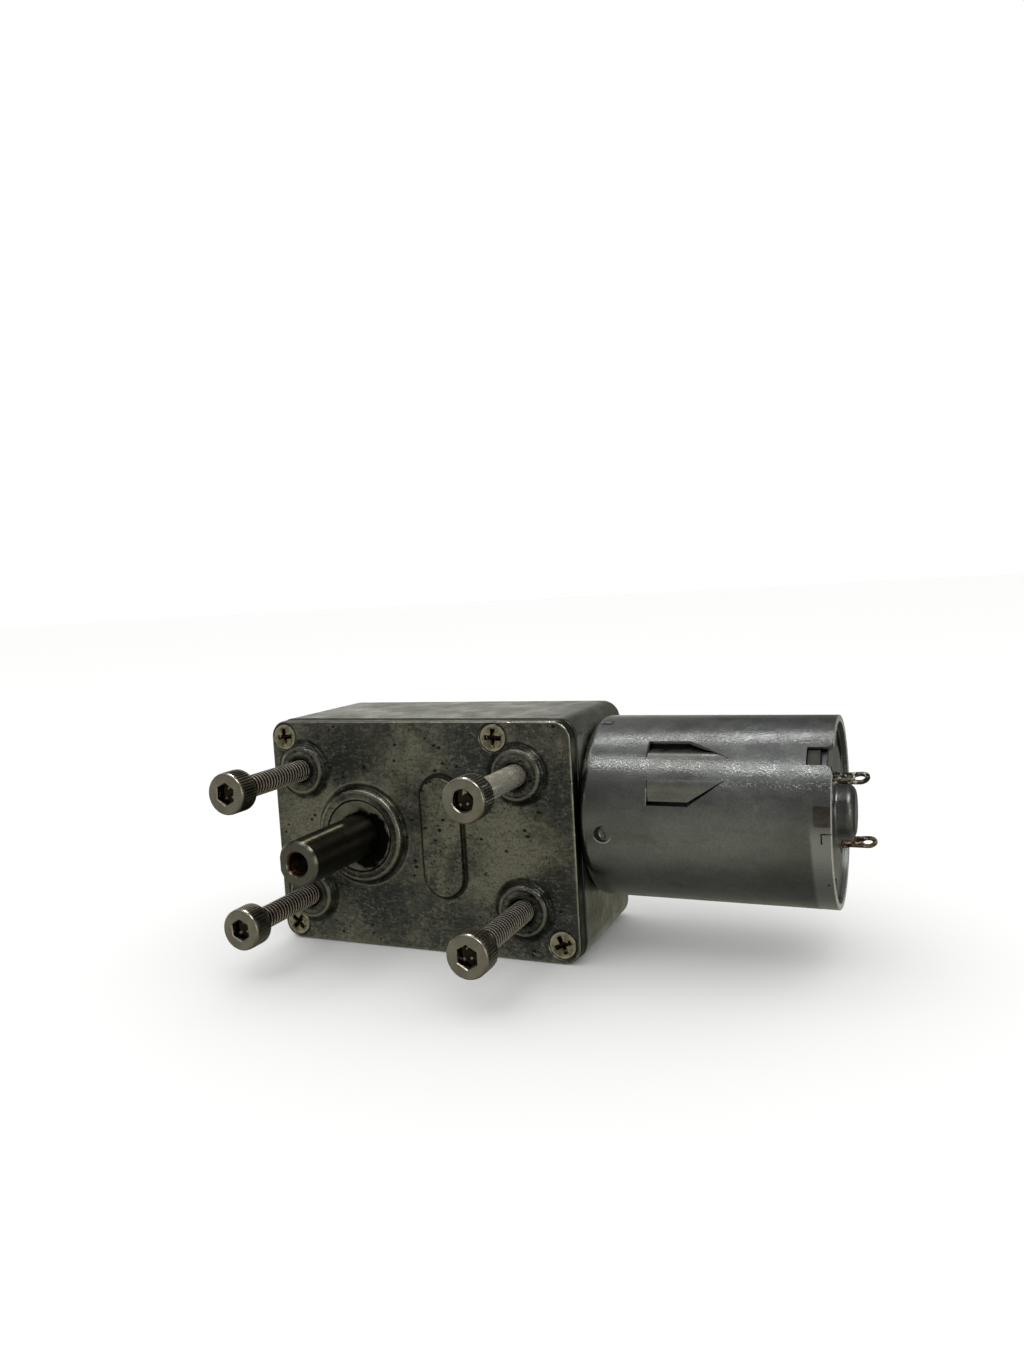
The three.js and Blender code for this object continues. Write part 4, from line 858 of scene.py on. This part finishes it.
# For each screw: the socket's turn in degrees, how worn its corners are, the knurl's depth and
# the length of plain shank under the head.
CAP_DETAILS = {
    "upper_left": (86, 0.0, 0.09, 0.0),
    "upper_right": (78, 0.55, 0.08, 12.4),
    "lower_left": (94, 0.1, 0.05, 0.0),
    "lower_right": (90, 0.0, 0.05, 0.0),
}
for name, (turn, corner, knurl, plain) in CAP_DETAILS.items():
    node = "cap_screw_" + name
    x, z = MOUNTS[name]
    low, high = span(node)
    seat = low.y + HEAD_HEIGHT
    parts, start = [cap_head(x, z, low.y, seat, turn, corner, knurl)], seat - 0.3
    if plain:
        parts.append(rod(on_y_axis(x, z), CAP_CREST, start, seat + plain, 48))
        start = seat + plain - 0.2
    made = together(*parts, threaded_rod(x, z, start, high.y, CAP_CREST, CAP_ROOT, CAP_PITCH))
    mirrored.append(piece(node + "_threaded", made, node, CAP_METAL, 28, pivot=(x, low.y, z)))


def cover_screw(x, z, face, end, turn):
    """Countersunk head with a cross recess, on a threaded shank."""
    profile = [(0, face - 0.02), (1.2, face - 0.015)] + rounding(1.7, face, 1.84, face + 0.1, 4, bulge=False)
    profile += [(1.0, face + 0.92), (0.9, face + 1.2), (0, face + 1.2)]
    head = turned(profile, on_y_axis(x, z), 64)
    tools = []
    for slot in (0, 90):
        a = math.radians(turn + slot)
        cos, sin = math.cos(a), math.sin(a)
        rings = []
        for u0, v0, y in ((1.36, 0.4, -0.2), (1.25, 0.33, 0.0), (0.95, 0.22, 0.55), (0.4, 0.1, 0.8)):
            corners = [(-u0, -v0), (u0, -v0), (u0, v0), (-u0, v0)]
            rings.append([Vector((x + u * cos - v * sin, face + y, z + u * sin + v * cos)) for u, v in corners])
        tools.append(mesh_of(rings))
    middle = [(0, -0.2), (0.62, -0.2), (0.5, 0.05), (0.2, 0.85), (0, 0.9)]
    tools.append(turned([(r, face + y) for r, y in middle], on_y_axis(x, z), 24))
    return together(cut(head, *tools), threaded_rod(x, z, face + 1.1, end, 0.98, 0.74, 0.4, 24))


COVER_SCREW_TURNS = {"upper_left": 4, "upper_right": -3, "lower_left": 47, "lower_right": 24}
for name, turn in COVER_SCREW_TURNS.items():
    node = "cover_screw_" + name
    x, z = COVER_SCREWS[name]
    low, high = span(node)
    made = cover_screw(x, z, low.y, high.y, turn)
    piece(node + "_cross", made, node, CROSS_METAL, 28, pivot=(x, low.y, z))


# ---- output shaft and bush
def output_shaft(end, rear):
    rear_step, flat_x = 17.3, OUTPUT_AXIS.x - 2.5
    profile = [(0, end + 10), (1.45, end + 9.4), (1.45, end + 0.3), (1.5, end + 0.22), (1.7, end)]
    profile += [(2.6, end), (2.66, end + 0.02), (2.97, end + 0.36), (3.0, end + 0.44)]
    profile += [(3.0, 4.0), (2.6, 4.0), (2.6, 4.6), (3.0, 4.6), (3.0, rear_step), (2.0, rear_step)]
    profile += [(2.0, rear - 0.2), (1.8, rear), (0, rear)]
    flat = block(flat_x - 2, flat_x, end - 1, end + 12, OUTPUT_AXIS.z - 4, OUTPUT_AXIS.z + 4)
    return cut(turned(profile, on_shaft, 128), flat)


def output_bush(face, rear):
    profile = [(3.04, face + 0.2), (3.3, face)] + rounding(4.78, face, 4.94, face + 0.16, 3, bulge=False)
    profile += [(4.94, rear - 0.1), (4.84, rear), (3.04, rear)]
    return turned(profile, on_shaft, 128, closed=True)


shaft_end, shaft_rear = (corner.y for corner in span("output_shaft"))
bush = output_bush(*(corner.y for corner in span("output_bush_front")))
mirrored.append(piece(
    "output_shaft_ground", output_shaft(shaft_end, shaft_rear), "output_shaft", SHAFT_METAL,
    pivot=(OUTPUT_AXIS.x, shaft_end, OUTPUT_AXIS.z),
))
piece("output_bush_greased_shaded", bush, "output_bush_front", GREASED_AND_SHADED)


# ---- motor casing
CUTTER_R = 10.6


def arc_cutter(outline, rings):
    """A cutter through the can's wall. outline holds (x, degrees), rings (radius, growth in mm)."""
    mid_x, mid_a = (sum(values) / len(outline) for values in zip(*outline))
    made = []
    for r, growth in rings:
        ring = []
        for x, a in outline:
            away = Vector((x - mid_x, math.radians(a - mid_a) * CAN_R))
            away.normalize()
            ring.append(on_motor_axis(r, math.radians(a) + away.y * growth / CAN_R, x + away.x * growth))
        made.append(ring)
    return mesh_of(made)


def slit(x0, x1, a0, a1):
    return arc_cutter([(x0, a0), (x1, a0), (x1, a1), (x0, a1)], [(CUTTER_R, 0), (13, 0)])


# Where each lanced tab hinges and ends in degrees, its outline along the can in mm, how far it
# is bent in, and how much shorter than its window it is.
UPPER_LANCE = dict(hinge=42.4, free=54.3, x0=54.7, x1=59.8, tip=64.9, bend=37, short=0.1)
LOWER_LANCE = dict(hinge=28.0, free=12.8, x0=55.1, x1=60.2, tip=64.6, bend=25, short=0.5)


def lance_window(hinge, free, x0, x1, tip, **_):
    wall = [(CUTTER_R, 0.0), (CAN_R - 0.13, 0.0), (CAN_R + 0.02, 0.14), (CAN_R + 1.0, 0.14)]
    return arc_cutter([(x0, hinge), (tip, hinge), (x1, free), (x0, free)], wall)


def lance_flap(hinge, free, x0, x1, tip, bend, short):
    """The tab pushed in from the wall: a bent plate that follows the window's outline."""
    outward, onward = radial(hinge)
    if free < hinge:
        onward = -onward
    length = math.radians(abs(free - hinge)) * CAN_R - short
    thickness, gap, lead, steps, columns = 0.7, 0.04, 0.25, 14, 10
    point, previous = MOTOR_CENTRE + outward * (CAN_R - 0.005) - onward * lead, -lead
    rings = []
    for i in range(steps + 1):
        s = -lead + (length + lead) * i / steps
        share = min(max(s / (0.5 * length), 0), 1)
        angle = math.radians(bend) * share * share * (3 - 2 * share)
        point = point + (onward * math.cos(angle) - outward * math.sin(angle)) * (s - previous)
        previous = s
        normal = outward * math.cos(angle) + onward * math.sin(angle)
        begin, end = x0 + gap, tip + (x1 - tip) * max(s, 0) / length - gap
        top = [point + Vector((begin + (end - begin) * k / columns, 0, 0)) for k in range(columns + 1)]
        rings.append(top + [p - normal * thickness for p in reversed(top)])
    return mesh_of(rings)


def dent(x, degrees, size, tilt, sink):
    """A small stake mark: an ellipsoid that dips into the wall."""
    outward, up = radial(degrees)
    turn = Matrix.Rotation(math.radians(tilt), 3, outward)
    along, up = turn @ Vector((1, 0, 0)), turn @ up
    basis = Matrix((along * size[0], up * size[1], outward * size[2])).transposed().to_4x4()
    centre = MOTOR_CENTRE + Vector((x, 0, 0)) + outward * (CAN_R + size[2] - sink)
    bm = bmesh.new()
    bmesh.ops.create_uvsphere(bm, u_segments=28, v_segments=18, radius=1)
    bm.transform(Matrix.Translation(centre) @ basis)
    return mesh_from(bm)


def notch(direction):
    """An open slot in the rim, with rounded shoulders where it meets the rim."""
    half, front, shoulder = 6.1, 74.1, 1.1
    flare = math.degrees(shoulder / CAN_R)
    outline = [(front, -half), (CAN_REAR - shoulder, -half)]
    for i in range(1, 6):
        t = math.pi / 2 * i / 5
        outline.append((CAN_REAR - shoulder + shoulder * math.sin(t), -half - flare * (1 - math.cos(t))))
    outline.append((CAN_REAR + 1, -half - flare))
    outline += [(x, -a) for x, a in reversed(outline)]
    return mesh_of([
        [on_motor_axis(r, math.radians(direction + a), x) for x, a in outline] for r in (CUTTER_R, CAN_R + 1)
    ])


def motor_can():
    front, rear, nose = CAN_FRONT, CAN_REAR, NOSE_FRONT
    profile = [(1.6, nose), (3.3, nose)] + rounding(3.35, nose, 3.5, nose + 0.15, 3, bulge=False)
    profile += [(3.5, front - 0.02), (3.6, front), (CAN_R - 1.3, front)]
    profile += rounding(CAN_R - 1.28, front, CAN_R, front + 1.3, 10, bulge=False)[1:]
    profile += [(CAN_R, rear - 0.12), (CAN_R - 0.1, rear - 0.02), (CAN_R - 0.16, rear)]
    profile += [(CAN_INNER_R + 0.12, rear), (CAN_INNER_R, rear - 0.1)]
    profile += [(CAN_INNER_R, front + 1.4), (CAN_INNER_R - 0.5, front + 0.8)]
    profile += [(2.95, front + 0.8), (2.95, nose + 0.45), (1.6, nose + 0.45)]
    return cut(
        turned(profile, on_motor_axis, 240, closed=True),
        notch(TERMINAL_DIRECTION),
        lance_window(**UPPER_LANCE),
        lance_window(**LOWER_LANCE),
        slit(75.85, 76.02, -5.5, 0.6),
        slit(75.9, 78, -0.1, 0.6),
        slit(76.35, 76.55, -36, -31),
        dent(STAKE_X, STAKE_TURN, (0.5, 0.95, 0.45), 18, 0.26),
        dent(47.9, 75, (1.3, 0.5, 0.4), 0, 0.25),
        dent(68.6, 13.5, (0.5, 0.7, 0.4), 30, 0.07),
        *motor_screw_bores(45, 48),
    )


def radial_prism(direction, outline, r0, r1):
    """A plate square to a radius of the motor. outline holds (x, width) points."""
    outward, across = radial(direction)
    return mesh_of([
        [MOTOR_CENTRE + Vector((x, 0, 0)) + outward * r + across * w for x, w in outline] for r in (r0, r1)
    ])


def radial_block(direction, r0, r1, w0, w1, x0, x1):
    return radial_prism(direction, [(x0, w0), (x1, w0), (x1, w1), (x0, w1)], r0, r1)


def arc_block(direction, degrees, r0, r1, x0, x1, steps=16):
    """A ring segment about the motor's axis."""
    angles = [math.radians(direction - degrees / 2 + degrees * i / steps) for i in range(steps + 1)]
    return mesh_of([
        [on_motor_axis(r1, a, x) for a in angles] + [on_motor_axis(r0, a, x) for a in reversed(angles)]
        for x in (x0, x1)
    ])


def vents(x0, x1):
    """Cutters for the two curved openings in the motor's rear."""
    return [arc_block(-55 + turn, 40, 8.4, 10.4, x0, x1) for turn in (0, 180)]


def terminal_slots(r0, r1, half, x0, x1):
    return [radial_block(TERMINAL_DIRECTION + turn, r0, r1, -half, half, x0, x1) for turn in (0, 180)]


def end_plate():
    """The pressed plate in the can's rear, with the dome over the bearing."""
    front, rear, tip, edge = 75.75, END_PLATE_REAR, 78.9, CAN_INNER_R
    profile = [(0, 78.45), (3.02, 78.45), (3.02, front), (edge - 0.12, front), (edge - 0.05, front + 0.07)]
    profile += [(edge - 0.05, rear - 0.15), (edge - 0.2, rear), (4.1, rear)]
    profile += rounding(3.9, rear, 3.5, rear + 0.4, 4, bulge=False)
    profile += [(3.5, tip - 1.1)] + rounding(3.5, tip - 1.0, 2.3, tip, 9) + [(0, tip)]
    return cut(turned(profile, on_motor_axis, 128), *terminal_slots(6.7, 8.1, 1.5, 75, 77), *vents(75, 77))


def brush_holder():
    """The moulded disc behind the end plate, with a tab standing in each notch of the rim."""
    front, rear, r = 73.8, 75.7, 11.33
    profile = [(3.4, front), (11.2, front), (r, front + 0.15), (r, rear - 0.15), (11.2, rear), (3.4, rear)]
    disc = turned(profile, on_motor_axis, 96, closed=True)
    parts = []
    for direction in (TERMINAL_DIRECTION, TERMINAL_DIRECTION + 180):
        parts.append(arc_block(direction, 11.2, 10.5, 11.75, 74.2, 75.6, 6))
        parts.append(radial_block(direction, 4.6, 7, 4.2, 6.4, 71, 74))
    return cut(joined(disc, *parts), *terminal_slots(7.15, 7.65, 1.05, 73, 77), *vents(73, 77))


def terminal(direction, bend):
    """A soldering lug: a flat strip with an eye near its rounded end, slightly bent."""
    half, neck, foot, eye_x, tip, thickness = 1.0, 0.74, 71.0, 79.9, 80.98, 0.4
    outline = [(foot, -half), (76.6, -half), (77.6, -neck)]
    for i in range(13):
        t = math.radians(-90 + 180 * i / 12)
        outline.append((eye_x + (tip - eye_x) * math.cos(t), 0.82 * math.sin(t)))
    outline += [(77.6, neck), (76.6, half), (foot, half)]
    turns = [2 * math.pi * i / 24 for i in range(24)]
    eye = [(eye_x - 0.1 + 0.62 * math.cos(t), 0.36 * math.sin(t)) for t in turns]
    body = cut(
        radial_prism(direction, outline, TERMINAL_R - thickness / 2, TERMINAL_R + thickness / 2),
        radial_prism(direction, eye, TERMINAL_R - 1, TERMINAL_R + 1),
    )
    bm = bmesh.new()
    bm.from_mesh(body)
    rims = [e for e in bm.edges if e.is_manifold and e.calc_face_angle(0) > 0.9]
    bmesh.ops.bevel(bm, geom=rims, offset=0.06, segments=2, affect="EDGES", profile=0.5)
    outward = radial(direction)[0]
    for vert in bm.verts:
        reach = max(vert.co.x - 77.5, 0)
        vert.co += outward * bend * reach * reach * 0.04
    bm.to_mesh(body)
    bm.free()
    return body


def motor_piece(name, mesh, node, material, sharp=30):
    piece(name, mesh, node, material, sharp, pivot=MOTOR_CENTRE)


motor_piece("motor_can_drawn", motor_can(), "motor_can", CAN, 32)
motor_piece("motor_can_lance_upper", lance_flap(**UPPER_LANCE), "motor_can", LANCE)
motor_piece("motor_can_lance_lower", lance_flap(**LOWER_LANCE), "motor_can", LANCE)
motor_piece("motor_end_plate_pressed", end_plate(), "motor_end_plate", PLATE)
piece("brush_holder_moulded", brush_holder(), "brush_holder", PLASTIC)
front_lug, back_lug = terminal(TERMINAL_DIRECTION, 1.0), terminal(TERMINAL_DIRECTION + 180, -0.6)
piece("terminal_front_lug", front_lug, "terminal_front", LUG_DARK)
piece("terminal_back_lug", back_lug, "terminal_back", LUG_RUSTY)


# ---- finishes of the inner pieces
INNER = [
    (BRASS, "worm worm_wheel output_gear"),
    (STEEL, "drive_pinion motor_shaft intermediate_axle magnet_clip output_retaining_clip"),
    (NICKEL, "motor_screw_upper motor_screw_lower output_thrust_washer"),
    (BRONZE, "output_bush_rear motor_bearing_front motor_bearing_rear brush_arm_front brush_arm_back"),
    (LAMINATE, "armature_core"),
    (COPPER, "commutator armature_coil_1 armature_coil_2 armature_coil_3"),
    (FERRITE, "magnet_upper magnet_lower"),
    (CARBON, "brush_front brush_back"),
    (NYLON, "axle_spacer_front axle_spacer_rear output_spacer shaft_spacer"),
]
for material, names in INNER:
    for name in names.split():
        mesh = frame["nodes"][name].data
        mesh.materials.clear()
        mesh.materials.append(material)


# ---- floor, light and camera
def floor():
    f = Finish("floor")
    f.colour = f.mix(f.ranged(f.noise(3, 2), 0.3, 0.7, 0.0, 0.04), (0.9, 0.9, 0.895), (0.87, 0.87, 0.865))
    half, top, bottom = 4, -0.00002, -0.004
    corners = [(-half, -half), (half, -half), (half, half), (-half, half)]
    mesh = mesh_of([[Vector((x, y, z)) for x, y in corners] for z in (top, bottom)])
    mesh.materials.append(f.done(0.85, 0.0))
    obj = added("floor", mesh)
    obj.visible_glossy = False


def strip_light(name, place, aim, size, power, colour=(1, 1, 1)):
    data = bpy.data.lights.new(name, "AREA")
    data.shape = "RECTANGLE"
    data.size, data.size_y = size
    data.energy = power
    data.color = colour
    obj = added(name, data)
    obj.location = place
    obj.rotation_euler = (Vector(aim) - Vector(place)).to_track_quat("-Z", "X").to_euler()
    obj.visible_camera = False
    return obj


def light_only(light, lit):
    """Keeps a light off every piece that isn't named."""
    group = bpy.data.collections.new("lit by the " + light.name)
    for obj in lit:
        group.objects.link(obj)
    light.light_linking.receiver_collection = group


# What the metals mirror, by how far up it lies, -1 to 1: height, brightness, warmth of the tone.
AHEAD = [
    (-1.0, 0.09, 0.9), (-0.65, 0.22, 0.82), (-0.1, 0.2, 0.84), (0.12, 0.16, 0.9), (0.35, 0.1, 0.97),
    (0.6, 0.14, 1.0), (0.85, 0.26, 1.03), (1.0, 0.26, 1.03),
]
BEHIND_LEFT = [
    (-1.0, 0.09, 0.9), (-0.3, 0.16, 0.85), (-0.06, 0.5, 0.9), (0.02, 0.86, 0.9), (0.15, 0.8, 0.9),
    (0.28, 0.28, 0.96), (0.6, 0.26, 1.0), (1.0, 0.22, 1.03),
]
BEHIND_RIGHT = [
    (-1.0, 0.09, 0.9), (-0.3, 0.28, 0.8), (-0.08, 0.14, 0.9), (0.1, 0.1, 0.9), (0.5, 0.06, 1.0),
    (1.0, 0.22, 1.03),
]
# Soft lights in that room: direction, reach and softness in degrees, colour.
ROOM_LIGHTS = [
    ((0.68, 0.70, -0.22), 16, 9, (0.03, 0.03, 0.024)),
    ((0.48, -0.2, 0.85), 8, 8, (4.2, 4.2, 3.9)),
    ((0.87, -0.44, 0.12), 10, 9, (1.3, 1.3, 1.2)),
]


def studio_world():
    """Even white surround for the picture, and a darker room with a few soft lights for the
    metals to mirror."""
    world = bpy.data.worlds.new("studio")
    world.use_nodes = True
    f = Nodes(world.node_tree)
    way = f.node("TexCoord").outputs["Generated"]
    x, y, z = f.node("SeparateXYZ", Vector=way).outputs

    def by_height(stops):
        unit = f.node("MapRange", Value=z, **{"From Min": -1}).outputs["Result"]
        ramp = f.node("ValToRGB", Fac=unit)
        elements = ramp.color_ramp.elements
        while len(elements) < len(stops):
            elements.new(0.5)
        for element, (height, tone, warmth) in zip(elements, stops):
            element.position = (height + 1) / 2
            element.color = (tone, tone, tone * warmth, 1)
        return ramp.outputs["Color"]

    behind = f.mix(f.ranged(x, -0.5, -0.02), by_height(BEHIND_LEFT), by_height(BEHIND_RIGHT))
    room = f.mix(f.ranged(y, -0.25, 0.35), by_height(AHEAD), behind)
    for direction, reach, soft, tone in ROOM_LIGHTS:
        dot = f.node("VectorMath", dict(operation="DOT_PRODUCT"), Vector=way)
        dot.inputs[1].default_value = Vector(direction).normalized()
        low, high = (math.cos(math.radians(angle)) for angle in (reach + soft, reach))
        room = f.mix(f.ranged(dot.outputs["Value"], low, high), room, tone)
    path = f.node("LightPath").outputs
    shown = f.mix(path["Is Camera Ray"], (1.16, 1.16, 1.155), (1.0, 1.0, 1.0))
    f.link(f.mix(path["Is Glossy Ray"], shown, room), world.node_tree.nodes["Background"].inputs["Color"])
    bpy.context.scene.world = world


floor()
studio_world()
strip_light("ceiling strip back", (-0.13, 0.165, 0.62), (0.01, 0.0, 0.025), (0.028, 0.34), 0.13)
strip_light("ceiling strip front", (-0.13, -0.26, 0.56), (0.01, 0.0, 0.025), (0.026, 0.34), 0.15)
lamp_place, lamp_aim, warm = (-0.106, 0.162, 0.368), (-0.026, -0.01, 0.016), (1, 0.95, 0.8)
light_only(strip_light("ceiling lamp", lamp_place, lamp_aim, (0.02, 0.04), 0.7, warm), mirrored)

camera_data = bpy.data.cameras.new("camera")
camera_data.sensor_width = 36
camera_data.lens = 26.262
camera_data.clip_start = 0.005
camera = added("camera", camera_data)
right = Vector((0.91682, 0.39527, -0.05662))
down = Vector((-0.01504, -0.10753, -0.99409))
forward = Vector((-0.39902, 0.91225, -0.09264))
axes = Matrix((right, -down, -forward)).transposed().to_4x4()
camera.matrix_world = Matrix.Translation(Vector((0.04883, -0.12011, 0.04877))) @ axes
bpy.context.scene.camera = camera
bpy.context.scene.view_settings.view_transform = "Standard"
